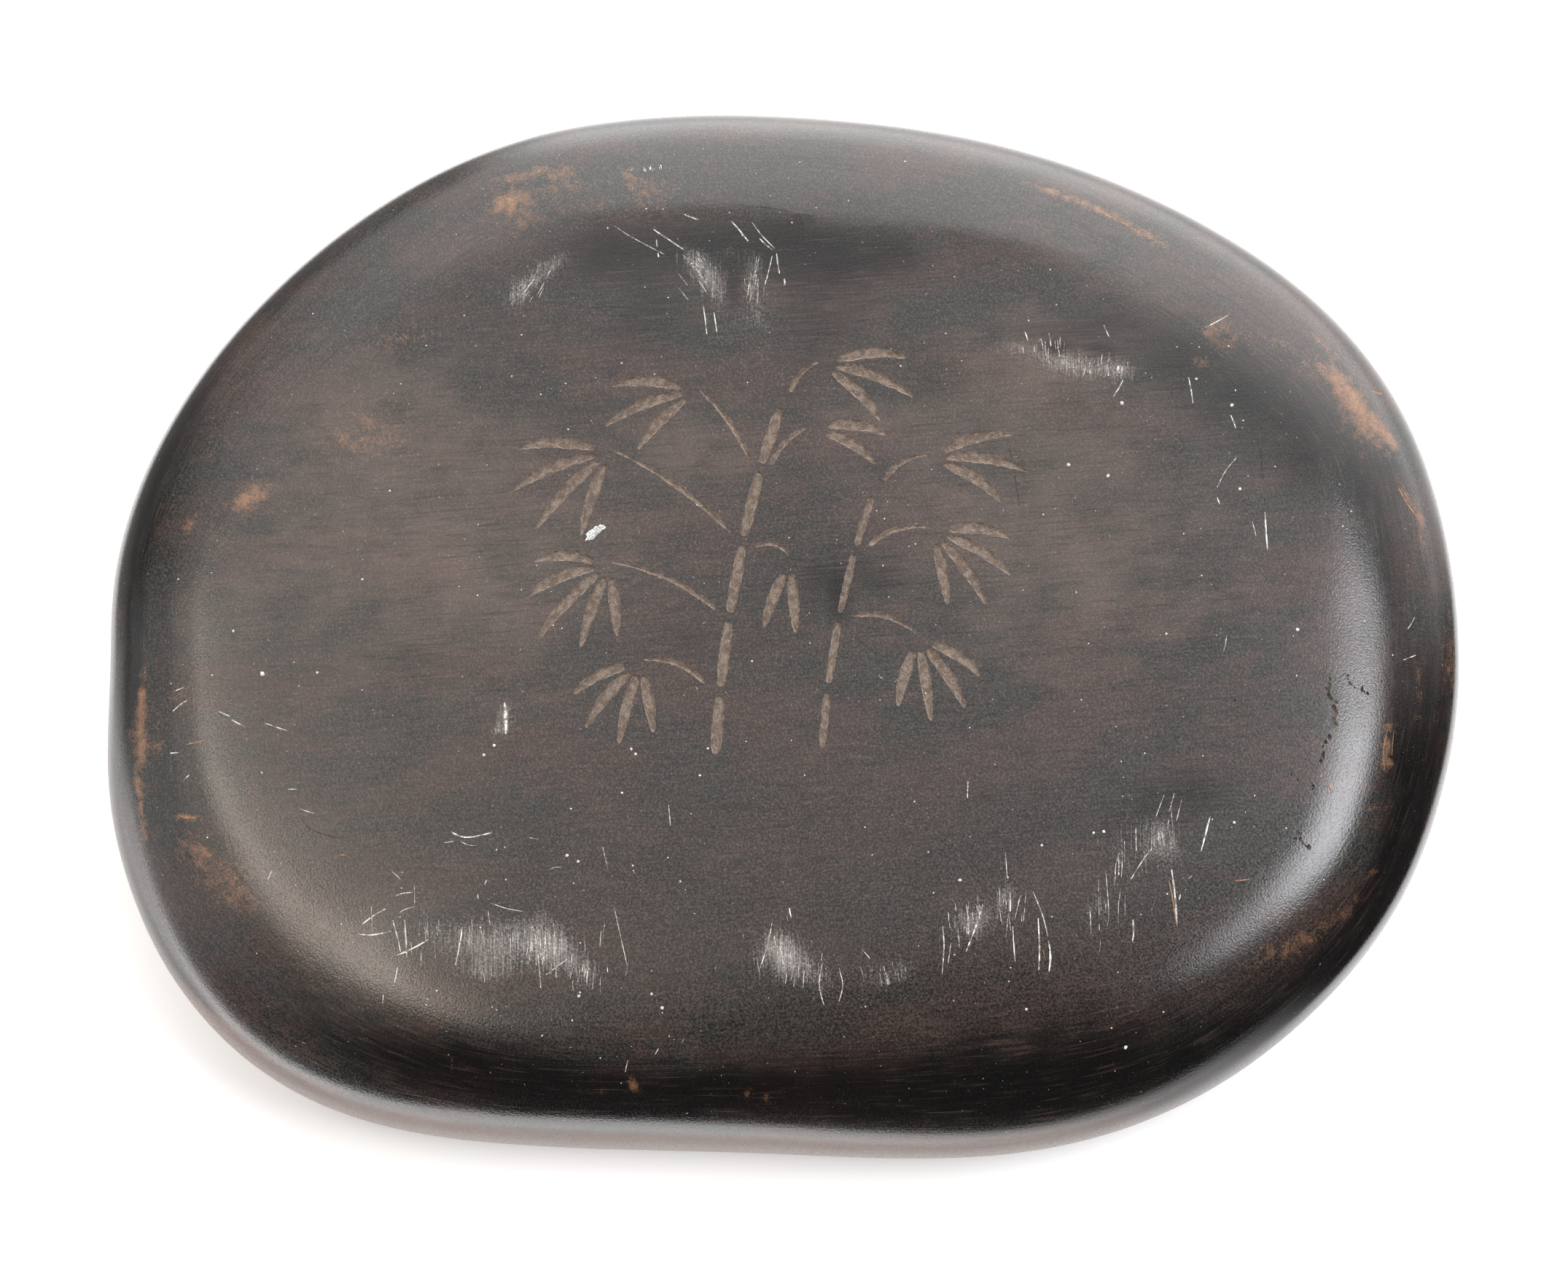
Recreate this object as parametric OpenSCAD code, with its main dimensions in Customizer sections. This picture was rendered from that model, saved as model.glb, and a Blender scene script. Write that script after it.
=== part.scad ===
// Pebble-form ink stone, carved from one block of dark slate.
//
// It lies on the rim of its grinding face, as it is laid to show its flat
// engraved underside, which is the upper face here. The grinding hollow and
// the crescent ink pool open downwards. The engraved strokes are V-cuts with
// a dried tan pigment in the bottom of each one.
//
// X runs along the length, Y from front to back and Z up. The origin is in
// the middle of the footprint, on the surface that the rim rests on.

/* [Stone] */
// Length, left to right
stone_l = 220; // [190:1:270]
// Width, front to back
stone_w = 172; // [145:1:210]
// Thickness, from the rim to the flat underside
stone_h = 36; // [30:1:48]
// Height of the widest line above the rim
belt_h = 17; // [12:0.5:20]

/* [Rolled edges] */
// Reach of the roll between the widest line and the flat underside
edge_roll = 22; // [14:0.5:28]
// Reach of the roll between the widest line and the rim
rim_roll = 12; // [7:0.5:16]
// Fullness of both rolls, where 2 is an ellipse and more is squarer
roll_power = 2.3; // [2:0.1:3]

/* [Grinding face] */
// Width of the flat rim that the stone rests on
rim_w = 7; // [4:0.5:12]
// Width of the sloping wall inside the rim
wall_w = 5; // [3:0.5:8]
// Depth of the grinding hollow below the rim
hollow_depth = 6; // [5:0.5:9]
// Depth of the ink pool below the rim
pool_depth = 13; // [10:0.5:18]
// Radius of the grinding floor's round edge, beyond which the pool lies
grind_r = 100; // [85:1:125]
// Distance from the back of the rim to the grinding floor's round edge
pool_reach = 38; // [32:1:48]
// Width of the slope from the grinding floor down into the pool
pool_slope = 12; // [8:1:18]

/* [Engraving] */
// Width of a culm's cut at the surface
culm_w = 1.8; // [1.2:0.1:3]
// Width of a twig's cut at the surface
twig_w = 0.9; // [0.7:0.1:1.4]
// Width of a leaf's cut at the surface
leaf_w = 1.8; // [1.4:0.1:2.8]
// Depth of a cut for each millimetre of its half width
cut_slope = 0.7; // [0.5:0.05:1]
// Bare length between two cuts that follow each other
cut_gap = 1; // [0.7:0.1:1.6]
// Distance from the stone's surface down to the pigment in a cut
pigment_drop = 0.2; // [0.1:0.05:0.25]
// Sideways bow of a twig that runs level
twig_bow = 1.6; // [0:0.1:2.4]
// Sideways bow of a leaf that lies level
leaf_bow = 1.1; // [0:0.1:1.5]
// Spread between two neighbouring leaves of a spray, in degrees
leaf_spread = 24; // [22:1:27]
// Place of the motif, from the middle of the stone to the right
motif_x = -5; // [-12:1:5]
// Place of the motif, from the middle of the stone to the back
motif_y = 2; // [-10:1:5]

/* [Hidden] */

// The widest line seen from above, anticlockwise from the right end, and how
// much further than edge_roll the underside's roll reaches there: [x, y, more]
BELT = [
    [110, -2, -1], [103.5, 32, 0], [81.5, 60, 2], [45, 79, 0], [6, 86, -2],
    [-36, 84, 0], [-71, 67, 2], [-95, 41, 0], [-106.5, 14, -4], [-108, -8, -4],
    [-107.3, -31, 0], [-97, -57, 6], [-76, -76, 8], [-45, -83.5, 0],
    [-6, -85, 2], [34, -85.5, 8], [69, -75, 4], [95, -52, 1], [106.5, -28, 1]
];
// Points round each ring of the stone's skin
ROUND = 120;
// Rings on the upper roll, the lower roll, the wall and the hollow's floor
UPPER_RINGS = 12;
LOWER_RINGS = 8;
WALL_RINGS = 4;
FLOOR_RINGS = 14;
// Size of the floor's innermost ring as a part of its outermost
FLOOR_CORE = 0.12;
// How far a cutter reaches above the stone
PROUD = 0.3;
// Steps along a cut
CUT_STEPS = 6;
// How far a leaf's root lies from its twig's end, as a number of cut gaps
ROOT_GAPS = 2.3;
// Loss of length for each place that a leaf is away from its spray's middle
LEAF_LOSS = 0.16;

// Joints of the two bamboo culms, from the foot up, and each one's width
// as a part of culm_w
CULMS = [
    [1, [[-6, -26], [-5.2, -15], [-3.8, -3], [-1.6, 9.5], [1.2, 21.5], [4.6, 32]]],
    [0.7, [[11, -25], [12, -14.5], [13.8, -3], [16.4, 8], [19.4, 17.5]]]
];
// Twigs and the leaves that hang from their ends:
// [start, end, leaf aim in degrees, number of leaves, length of the longest]
SPRAYS = [
    [[-7.4, -14], [-18, -10], 244, 4, 13],
    [[-5.6, -2], [-23, 6], 228, 5, 15],
    [[-3.4, 10.6], [-23, 24.5], 216, 4, 17],
    [[-0.4, 22.6], [-9, 34.5], 203, 3, 14],
    [[6, 33.6], [11, 39], 338, 3, 14],
    [[2.8, 21.6], [9.5, 28.4], 340, 2, 11],
    [[21, 19], [28.5, 23.5], 350, 3, 14],
    [[18.4, 8.4], [29, 11.5], 316, 4, 14],
    [[15.6, -2.8], [26.5, -6], 290, 4, 13],
    [[0, 8.4], [6, 6.6], 262, 2, 11]
];

function smooth(t) = let (c = min(max(t, 0), 1)) c * c * (3 - 2 * c);

// Control points of the closed cubic spline that runs through the points p
function controls(p, passes = 20) =
    passes == 0 ? p
    : let (c = controls(p, passes - 1), n = len(p))
        [for (i = [0:n - 1]) (6 * p[i] - c[(i + n - 1) % n] - c[(i + 1) % n]) / 4];

// The spline's value at u, where each whole number is one of its points
function spline(c, u) =
    let (n = len(c), i = floor(u), f = u - i)
    ((1 - f) ^ 3 * c[(i + n - 1) % n] + (3 * f ^ 3 - 6 * f ^ 2 + 4) * c[i % n]
        + (1 + 3 * f + 3 * f ^ 2 - 3 * f ^ 3) * c[(i + 1) % n] + f ^ 3 * c[(i + 2) % n]) / 6;

// The widest line at the size of the stone, as [x, y, roll]
belt_controls = controls(BELT);
belt_raw = [for (i = [0:ROUND - 1]) spline(belt_controls, i * len(BELT) / ROUND)];
raw_x = [for (p = belt_raw) p.x];
raw_y = [for (p = belt_raw) p.y];
belt = [
    for (p = belt_raw) [
        (p.x - (max(raw_x) + min(raw_x)) / 2) * stone_l / (max(raw_x) - min(raw_x)),
        (p.y - (max(raw_y) + min(raw_y)) / 2) * stone_w / (max(raw_y) - min(raw_y)),
        edge_roll + p.z
    ]
];
// Unit vector out of the stone at each point of the widest line
outward = [
    for (i = [0:ROUND - 1])
        let (d = belt[(i + 1) % ROUND] - belt[(i + ROUND - 1) % ROUND])
        [d.y, -d.x] / norm([d.x, d.y])
];

// The ring that lies inside the widest line by reach[i], at height z
function ring(reach, z) = [
    for (i = [0:ROUND - 1]) [
        belt[i].x - outward[i].x * reach[i],
        belt[i].y - outward[i].y * reach[i],
        z
    ]
];

// Share of a roll's reach and of its rise after an angle a up from the belt
function roll_in(a) = 1 - cos(a) ^ (2 / roll_power);
function roll_up(a) = sin(a) ^ (2 / roll_power);

// Height of the hollow's floor at a point in plan
grind_back = stone_w / 2 - rim_roll - rim_w - pool_reach;
function floor_z(p) =
    hollow_depth + (pool_depth - hollow_depth)
        * smooth((norm([p.x, p.y - grind_back + grind_r]) - grind_r) / pool_slope);

rim_in = rim_roll + rim_w;
wall_foot = ring([for (b = belt) rim_in + wall_w], 0);

upper_rings = [
    for (k = [UPPER_RINGS:-1:1])
        let (a = 90 * k / UPPER_RINGS)
        ring([for (b = belt) b.z * roll_in(a)], belt_h + (stone_h - belt_h) * roll_up(a))
];
lower_rings = [
    for (k = [0:LOWER_RINGS])
        let (a = 90 * k / LOWER_RINGS)
        ring([for (b = belt) rim_roll * roll_in(a)], belt_h * (1 - roll_up(a)))
];
wall_rings = [
    for (k = [0:WALL_RINGS])
        let (t = k / WALL_RINGS, flat = ring([for (b = belt) rim_in + wall_w * t], 0))
        [for (i = [0:ROUND - 1]) [flat[i].x, flat[i].y, floor_z(wall_foot[i]) * smooth(t)]]
];
floor_rings = [
    for (k = [1:FLOOR_RINGS])
        let (size = 1 - (1 - FLOOR_CORE) * k / FLOOR_RINGS)
        [for (p = wall_foot) [p.x * size, p.y * size, floor_z(p * size)]]
];
skin = concat(upper_rings, lower_rings, wall_rings, floor_rings);

// One closed skin: the flat underside, the rings below it and the floor's core
module blank() {
    last = len(skin) - 1;
    polyhedron(
        points = [for (r = skin) each r],
        faces = concat(
            [[for (i = [ROUND - 1:-1:0]) i]],
            [[for (i = [0:ROUND - 1]) last * ROUND + i]],
            [
                for (r = [0:last - 1], i = [0:ROUND - 1])
                    let (a = r * ROUND + i, b = r * ROUND + (i + 1) % ROUND)
                    each [[a, b, b + ROUND], [a, b + ROUND, a + ROUND]]
            ]
        ),
        convexity = 6
    );
}

// A tapered V-cut from a to b, width wide at the surface and widest where a
// part peak of its length has been run. Level cuts bow upwards by bow. A low
// fullness gives a long even cut and a high one a slender leaf.
module cut(a, b, bow, width, peak, fullness) {
    run = b - a;
    side = [-run.y, run.x] / norm(run);
    rise = PROUD / cut_slope;
    lean = ln(0.5) / ln(peak);
    stations = [
        for (k = [1:CUT_STEPS - 1])
            let (
                t = k / CUT_STEPS,
                mid = a + run * t + side * (bow * run.x / norm(run)) * 4 * t * (1 - t),
                half = (width / 2 + rise) * sin(180 * t ^ lean) ^ fullness
            )
            each [
                [each mid + side * half, PROUD],
                [each mid - side * half, PROUD],
                [each mid, PROUD - half * cut_slope]
            ]
    ];
    tip = len(stations) + 1;
    last = tip - 3;
    polyhedron(
        points = concat([[each a, PROUD]], stations, [[each b, PROUD]]),
        faces = concat(
            [concat(0, [for (i = [1:3:last]) i], tip, [for (i = [last + 1:-3:2]) i])],
            [[0, 3, 1], [0, 2, 3], [last, last + 2, tip], [last + 1, tip, last + 2]],
            [
                for (i = [1:3:last - 3])
                    each [
                        [i, i + 2, i + 5], [i, i + 5, i + 3],
                        [i + 1, i + 5, i + 2], [i + 1, i + 4, i + 5]
                    ]
            ]
        )
    );
}

// The culms' cuts, each from one joint to the next
module culm_cuts() {
    for (culm = CULMS, k = [1:len(culm[1]) - 1])
        let (a = culm[1][k - 1], b = culm[1][k], gap = (b - a) / norm(b - a) * cut_gap / 2)
        cut(a + gap, b - gap, 0, culm_w * culm[0], 0.5, 0.25);
}

// A twig's cut and those of the leaves that hang from its end
module spray_cuts(start, end, aim, leaves, length) {
    cut(start, end, twig_bow, twig_w, 0.35, 0.6);
    for (k = [0:leaves - 1]) {
        place = k - (leaves - 1) / 2;
        out = [cos(aim + place * leaf_spread), sin(aim + place * leaf_spread)];
        root = end + out * cut_gap * ROOT_GAPS;
        tip = root + out * length * (1 - LEAF_LOSS * abs(place));
        cut(root, tip, leaf_bow, leaf_w, 0.4, 0.6);
    }
}

module engraving() {
    translate([motif_x, motif_y, stone_h]) {
        culm_cuts();
        for (s = SPRAYS) spray_cuts(s[0], s[1], s[2], s[3], s[4]);
    }
}

module stone() {
    color("#484240")
    difference() {
        blank();
        engraving();
    }
}

module pigment_fill() {
    color("#9a806a")
    intersection() {
        engraving();
        translate([-stone_l / 2, -stone_w / 2, stone_h / 2])
            cube([stone_l, stone_w, stone_h / 2 - pigment_drop]);
    }
}

stone();
pigment_fill();
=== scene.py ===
"""Pebble-form ink stone of dark slate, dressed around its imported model.

The stone lies on the rim of its grinding face, so its flat engraved underside
is the upper face. Sizes are in millimetres until a mesh is made from them, and
only those of the floor and the lights are in metres. Pixels are places in the
photograph's frame, and each is cast onto the stone from the camera, so whatever
it places lies on the stone.
"""

import logging
import math
from dataclasses import dataclass, field
from enum import Enum
from random import Random
from typing import Any, Sequence

import bpy
import numpy as np
from bpy.types import ID, Material, Mesh, NodeSocket, NodeTree, Object
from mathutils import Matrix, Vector, noise
from mathutils.bvhtree import BVHTree
from mathutils.geometry import delaunay_2d_cdt
from mathutils.kdtree import KDTree


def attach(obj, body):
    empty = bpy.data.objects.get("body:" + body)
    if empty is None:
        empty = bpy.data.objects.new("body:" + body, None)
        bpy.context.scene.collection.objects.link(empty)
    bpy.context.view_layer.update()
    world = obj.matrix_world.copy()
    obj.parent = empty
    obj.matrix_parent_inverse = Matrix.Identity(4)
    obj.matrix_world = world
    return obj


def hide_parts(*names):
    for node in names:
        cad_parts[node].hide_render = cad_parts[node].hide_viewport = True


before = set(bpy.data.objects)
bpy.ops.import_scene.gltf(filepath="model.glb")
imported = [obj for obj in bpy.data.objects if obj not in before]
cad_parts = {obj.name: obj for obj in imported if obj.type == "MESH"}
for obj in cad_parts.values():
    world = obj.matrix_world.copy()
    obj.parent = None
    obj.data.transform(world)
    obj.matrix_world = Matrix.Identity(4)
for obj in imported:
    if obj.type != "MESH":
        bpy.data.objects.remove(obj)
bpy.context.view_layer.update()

MM = 0.001
FRAME_PX = (2151, 1736)
LOG = logging.getLogger("ink_stone")
UP = np.array([0.0, 0.0, 1.0])
# Steps between two points of a smooth line, and the fewest that it is evened into
DENSE = 16
FEWEST = 4
# A turn out of level, in which a noise shows none of its own square lattice
ASKEW = {"Axis": (0.6, 0.5, 0.6), "Angle": 1.1}

Pixel = tuple[float, float]
Place = tuple[float, float]
# A width in millimetres, then pixels from one end of a line to the other
Stroke = tuple[float, tuple[Pixel, ...]]
# A name, an axis, and where on that axis a ramp is 0 and where it is 1
Ramp = tuple[str, str, float, float]
Sockets = dict[str, NodeSocket]


def smooth(t: np.ndarray) -> np.ndarray:
    """Returns t eased in and out between 0 and 1."""
    c = np.clip(t, 0, 1)
    return c * c * (3 - 2 * c)


def linear(hex_colour: str) -> tuple[float, float, float, float]:
    """Turns an sRGB hex colour to the linear one that a shader takes.

    Args:
        hex_colour: Six hex digits after a hash sign.

    Returns:
        Red, green, blue and an alpha of 1.
    """
    values = [int(hex_colour[i : i + 2], 16) / 255 for i in (1, 3, 5)]
    parts = [v / 12.92 if v <= 0.04045 else ((v + 0.055) / 1.055) ** 2.4 for v in values]
    return (parts[0], parts[1], parts[2], 1.0)


def add(
    tree: NodeTree,
    kind: str,
    settings: dict[str, Any] | None = None,
    inputs: dict[str | int, Any] | None = None,
    output: str | None = None,
) -> NodeSocket:
    """Adds one node to a tree, with its settings and what goes into it.

    Args:
        tree: The node tree of a material or of the world.
        kind: The node's type, without the ShaderNode that it starts with.
        settings: The node's properties and their values.
        inputs: A value, or a socket to link, for each input's name, identifier or number.
        output: The name of the output wanted, or None for the first in use.

    Returns:
        That output.
    """
    made = tree.nodes.new("ShaderNode" + kind)
    for name, value in (settings or {}).items():
        setattr(made, name, value)
    for key, value in (inputs or {}).items():
        if isinstance(key, int):
            socket = made.inputs[key]
        else:
            socket = next(s for s in made.inputs if key in (s.identifier, s.name))
        if isinstance(value, NodeSocket):
            tree.links.new(value, socket)
        else:
            socket.default_value = value
    if output is not None:
        return made.outputs[output]
    return next(s for s in made.outputs if s.enabled)


def new_material(name: str) -> tuple[Material, NodeTree]:
    """Starts a material with an empty node tree.

    Args:
        name: What the material is.

    Returns:
        The material and its tree.
    """
    material = bpy.data.materials.new(name)
    material.use_nodes = True
    material.node_tree.nodes.clear()
    return material, material.node_tree


def add_output(tree: NodeTree, shader: NodeSocket) -> None:
    """Ends a material's tree with its output."""
    made = tree.nodes.new("ShaderNodeOutputMaterial")
    tree.links.new(shader, made.inputs["Surface"])


def glow_over(
    tree: NodeTree,
    place: NodeSocket,
    least: float,
    ramps: Sequence[Ramp],
    parts: Sequence[tuple[tuple[str, ...], float]],
) -> NodeSocket:
    """Works out a glow that changes softly over a place or a direction.

    Args:
        tree: The node tree.
        place: The place or the direction.
        least: The glow where there is no other.
        ramps: The ramps from 0 to 1 along the axes.
        parts: For each part of the glow, the ramps that share it out and its strength.

    Returns:
        The glow.
    """
    along = {axis: add(tree, "SeparateXYZ", {}, {"Vector": place}, axis) for axis in "XY"}
    ramp = {}
    for name, axis, low, high in ramps:
        inputs = {"Value": along[axis], "From Min": low, "From Max": high}
        ramp[name] = add(tree, "MapRange", {"interpolation_type": "SMOOTHSTEP"}, inputs)
    glow: Any = least
    for names, strength in parts:
        part: Any = strength
        for name in names:
            part = add(tree, "Math", {"operation": "MULTIPLY"}, {0: ramp[name], 1: part})
        glow = add(tree, "Math", {"operation": "ADD"}, {0: part, 1: glow})
    return glow


class Fill(Enum):
    """What lies on the walls that a cutter leaves in the stone."""

    SKIN = 0
    CUT = 1
    DUST = 2
    PIT = 3
    RUST = 4


@dataclass
class Solid:
    """One closed solid in millimetres, and the fill that it leaves where it cuts."""

    points: np.ndarray
    faces: list[tuple[int, ...]]
    fill: Fill = Fill.SKIN


def loft(rings: np.ndarray, first: np.ndarray, last: np.ndarray, fill: Fill = Fill.SKIN) -> Solid:
    """Joins rings of points by quads and closes each end on one point.

    Args:
        rings: The rings, as an array of ring, point and axis.
        first: The point that closes the first ring.
        last: The point that closes the last ring.
        fill: What the solid leaves where it cuts.

    Returns:
        The solid, with its faces turned outwards.
    """
    count, around = rings.shape[:2]
    points = np.vstack([rings.reshape(-1, 3), first, last])
    start, end = count * around, count * around + 1
    faces: list[tuple[int, ...]] = []
    for j in range(around):
        k = (j + 1) % around
        faces.append((start, j, k))
        faces.append((end, (count - 1) * around + k, (count - 1) * around + j))
        for i in range(count - 1):
            a, b = i * around, (i + 1) * around
            faces.append((a + j, b + j, b + k))
            faces.append((a + j, b + k, a + k))
    corner = points[np.array(faces)] - points.mean(0)
    volume = np.einsum("ij,ij->i", corner[:, 0], np.cross(corner[:, 1], corner[:, 2])).sum()
    if volume < 0:
        faces = [face[::-1] for face in faces]
    return Solid(points, faces, fill)


def placed(name: str, data: ID) -> Object:
    """Makes an object of its data and links it to the scene.

    Args:
        name: The object's name.
        data: Its mesh, light or camera.

    Returns:
        The object.
    """
    made = bpy.data.objects.new(name, data)
    bpy.context.scene.collection.objects.link(made)
    return made


def make_object(name: str, solids: Sequence[Solid]) -> Object:
    """Makes one mesh object from solids, with a material number for each fill.

    Args:
        name: The object's name.
        solids: The solids, in millimetres.

    Returns:
        The object, in metres, linked to the scene.
    """
    points, faces, fills, start = [], [], [], 0
    for solid in solids:
        points.append(solid.points)
        faces.extend(tuple(i + start for i in face) for face in solid.faces)
        fills.extend([solid.fill.value] * len(solid.faces))
        start += len(solid.points)
    mesh = bpy.data.meshes.new(name)
    mesh.from_pydata((np.vstack(points) * MM).tolist(), [], faces)
    mesh.polygons.foreach_set("material_index", fills)
    mesh.update()
    return placed(name, mesh)


def values_of(items: Sequence[Any], name: str, kind: type = float, size: int = 1) -> np.ndarray:
    """Reads one property of all the points, edges, corners or faces of a mesh.

    Args:
        items: The points, edges, corners or faces.
        name: The property.
        kind: The type of its values.
        size: How many values each item has.

    Returns:
        The values, with a row for each item if it has more than one.
    """
    values = np.zeros(len(items) * size, kind)
    items.foreach_get(name, values)
    return values.reshape(-1, size) if size > 1 else values


def write_values(mesh: Mesh, name: str, values: np.ndarray) -> None:
    """Writes an attribute of a mesh.

    Args:
        mesh: The mesh.
        name: The attribute's name.
        values: A number or a vector for each point.
    """
    kind, part = ("FLOAT", "value") if values.ndim == 1 else ("FLOAT_VECTOR", "vector")
    made = mesh.attributes.new(name, kind, "POINT")
    made.data.foreach_set(part, values.astype(np.float32).ravel())


def apply_modifiers(piece: Object) -> None:
    """Replaces a piece's mesh by what its modifiers make of it, and removes them.

    Args:
        piece: The piece.
    """
    graph = bpy.context.evaluated_depsgraph_get()
    graph.update()
    mesh = bpy.data.meshes.new_from_object(piece.evaluated_get(graph))
    piece.modifiers.clear()
    piece.data = mesh


@dataclass
class PhotoCamera:
    """The camera, at the photograph's viewing angle, high above the stone's front."""

    elevation: float = 80.0
    distance: float = 1100.0
    target: tuple[float, float, float] = (0.0, 0.0, 16.0)
    px_per_mm: float = 8.4
    sensor: float = 36.0
    clip_start: float = 0.01

    def place(self) -> Vector:
        """Finds where the camera stands.

        Returns:
            The place, in millimetres.
        """
        angle = math.radians(self.elevation)
        back = Vector((0, -math.cos(angle), math.sin(angle)))
        return Vector(self.target) + back * self.distance

    def ray(self, pixel: Pixel) -> tuple[Vector, Vector]:
        """Finds the line of sight through a pixel of the photograph.

        Args:
            pixel: Its column and row.

        Returns:
            Where the line starts, in millimetres, and its unit direction.
        """
        start = self.place()
        ahead = (Vector(self.target) - start).normalized()
        right = Vector((1, 0, 0))
        up = right.cross(ahead)
        across = (pixel[0] - FRAME_PX[0] / 2) / self.px_per_mm
        down = (pixel[1] - FRAME_PX[1] / 2) / self.px_per_mm
        return start, (ahead * self.distance + right * across - up * down).normalized()

    def build(self) -> None:
        """Makes the scene's camera."""
        data = bpy.data.cameras.new("photo_camera")
        data.sensor_width = self.sensor
        data.lens = self.sensor * self.distance * self.px_per_mm / FRAME_PX[0]
        data.clip_start = self.clip_start
        made = placed("photo_camera", data)
        made.location = self.place() * MM
        ahead = Vector(self.target) * MM - made.location
        made.rotation_euler = ahead.to_track_quat("-Z", "Y").to_euler()
        bpy.context.scene.camera = made


@dataclass(frozen=True)
class Spot:
    """A soft-edged patch: its middle, its half axes, their turn and how strong it is."""

    pixel: Pixel
    along: float
    across: float
    turn: float = 0.0
    strength: float = 1.0


@dataclass
class Skin:
    """The stone's shape without its cuts, and ways to find places on it."""

    camera: PhotoCamera
    length: float = 220.0
    width: float = 172.0
    height: float = 36.0
    belt: float = 17.0
    edge_roll: float = 22.0
    rim_roll: float = 12.0
    roll_power: float = 2.3
    rim: float = 7.0
    wall: float = 5.0
    hollow: float = 6.0
    pool: float = 13.0
    grind_radius: float = 100.0
    pool_reach: float = 38.0
    pool_slope: float = 12.0
    steps: int = 480
    upper_rows: int = 44
    lower_rows: int = 20
    wall_rows: int = 8
    rim_parts: int = 3
    spline_rounds: int = 20
    # The net of a cap, and how near the ring it comes, as a share of its spacing
    spacing: float = 1.4
    net_clear: float = 0.75
    merge_mm: float = 1e-6
    # Broad and fine waves of hand rubbing: how high, how long and how they are moved
    broad_relief: float = 0.16
    broad_mm: float = 36.0
    broad_mean: float = 0.3
    rubbed_relief: float = 0.035
    rubbed_mm: float = 10.0
    rubbed_shift: tuple[float, float, float] = (9, 4, 2)
    rim_blend: float = 2.0
    crease_lift: float = 0.35
    crease_approach: float = 13.0
    crease_drop: float = 0.85
    crease_width: float = 8.0
    crease_ends: float = 25.0
    crease_above: float = 10.0
    shoulder_slope: float = 0.06
    shoulder_inside: float = 12.0
    shoulder_outside: float = 7.0
    # The edge is fuller where its slope is near full_at degrees
    edge_fullness: float = 0.3
    full_at: float = 62.0
    full_over: float = 16.0
    # How far a soft patch reaches through the stone: at least, and by its size
    patch_deep: float = 3.0
    patch_share: float = 0.4
    # The widest line, anticlockwise from the right end, and how much further
    # than edge_roll the upper roll reaches there
    belt_line: tuple[tuple[float, float, float], ...] = (
        (110, -2, 3), (103.5, 32, 0), (81.5, 60, 2), (45, 79, 0), (6, 86, -2),
        (-36, 84, 0), (-71, 67, 2), (-95, 41, 0), (-106.5, 14, -4), (-108, -8, -4),
        (-107.3, -31, 0), (-97, -57, 6), (-76, -76, 8), (-45, -83.5, 0),
        (-6, -85, 2), (34, -85.5, 8), (69, -75, 4), (95, -52, 1), (106.5, -28, 1),
    )
    # Where the back roll starts with a soft ridge
    crease: tuple[Pixel, ...] = (
        (700, 300), (860, 284), (969, 281), (1067, 286), (1123, 297), (1187, 303),
        (1323, 311), (1480, 345), (1600, 400),
    )
    points: np.ndarray = field(default_factory=lambda: np.zeros((0, 3)))
    faces: list[tuple[int, ...]] = field(default_factory=list)
    around: np.ndarray = field(default_factory=lambda: np.zeros((0, 3)))
    outside: np.ndarray = field(default_factory=lambda: np.zeros(0))
    tree: BVHTree | None = None

    def outline(self) -> tuple[np.ndarray, np.ndarray, np.ndarray]:
        """Runs a closed cubic spline through the widest line's points.

        Returns:
            The line's points, the unit vectors out of the stone there, and the
            reach of the upper roll.
        """
        line = np.array(self.belt_line, float)
        controls = line.copy()
        for _ in range(self.spline_rounds):
            controls = (6 * line - np.roll(controls, 1, 0) - np.roll(controls, -1, 0)) / 4
        at = np.linspace(0, len(line), self.steps, endpoint=False)
        index, f = at.astype(int), (at % 1)[:, None]
        before, here, after, beyond = (controls[(index + k) % len(line)] for k in (-1, 0, 1, 2))
        curve = (
            (1 - f) ** 3 * before
            + (3 * f**3 - 6 * f**2 + 4) * here
            + (1 + 3 * f + 3 * f**2 - 3 * f**3) * after
            + f**3 * beyond
        ) / 6
        low, high = curve[:, :2].min(0), curve[:, :2].max(0)
        flat = (curve[:, :2] - (low + high) / 2) * np.array([self.length, self.width]) / (high - low)
        run = np.roll(flat, -1, 0) - np.roll(flat, 1, 0)
        run /= np.linalg.norm(run, axis=1)[:, None]
        outward = np.stack([run[:, 1], -run[:, 0]], 1)
        return flat, outward, self.edge_roll + curve[:, 2]

    def floor_depth(self, flat: np.ndarray) -> np.ndarray:
        """Works out how deep the grinding floor and the pool lie.

        Args:
            flat: Points in plan.

        Returns:
            The depth at each point.
        """
        back = self.width / 2 - self.rim_roll - self.rim - self.pool_reach
        beyond = np.hypot(flat[:, 0], flat[:, 1] - back + self.grind_radius) - self.grind_radius
        return self.hollow + (self.pool - self.hollow) * smooth(beyond / self.pool_slope)

    def quarter(self, row: int, rows: int) -> tuple[float, float]:
        """Places one row of a quarter roll, counted from the widest line.

        Args:
            row: The row's number.
            rows: The number of the last row.

        Returns:
            How far in and how far up or down the row lies, as shares of the roll.
        """
        angle = math.pi / 2 * row / rows
        power = 2 / self.roll_power
        inner = 1 - math.cos(angle) ** power if row < rows else 1.0
        return inner, math.sin(angle) ** power

    def rows(self) -> tuple[list[np.ndarray], list[float]]:
        """Works out the rings from the flat underside round to the hollow's floor.

        Returns:
            The rings, and how far each lies down the side from the widest line.
        """
        flat, outward, roll = self.outline()
        mean_roll = float(roll.mean())

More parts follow.
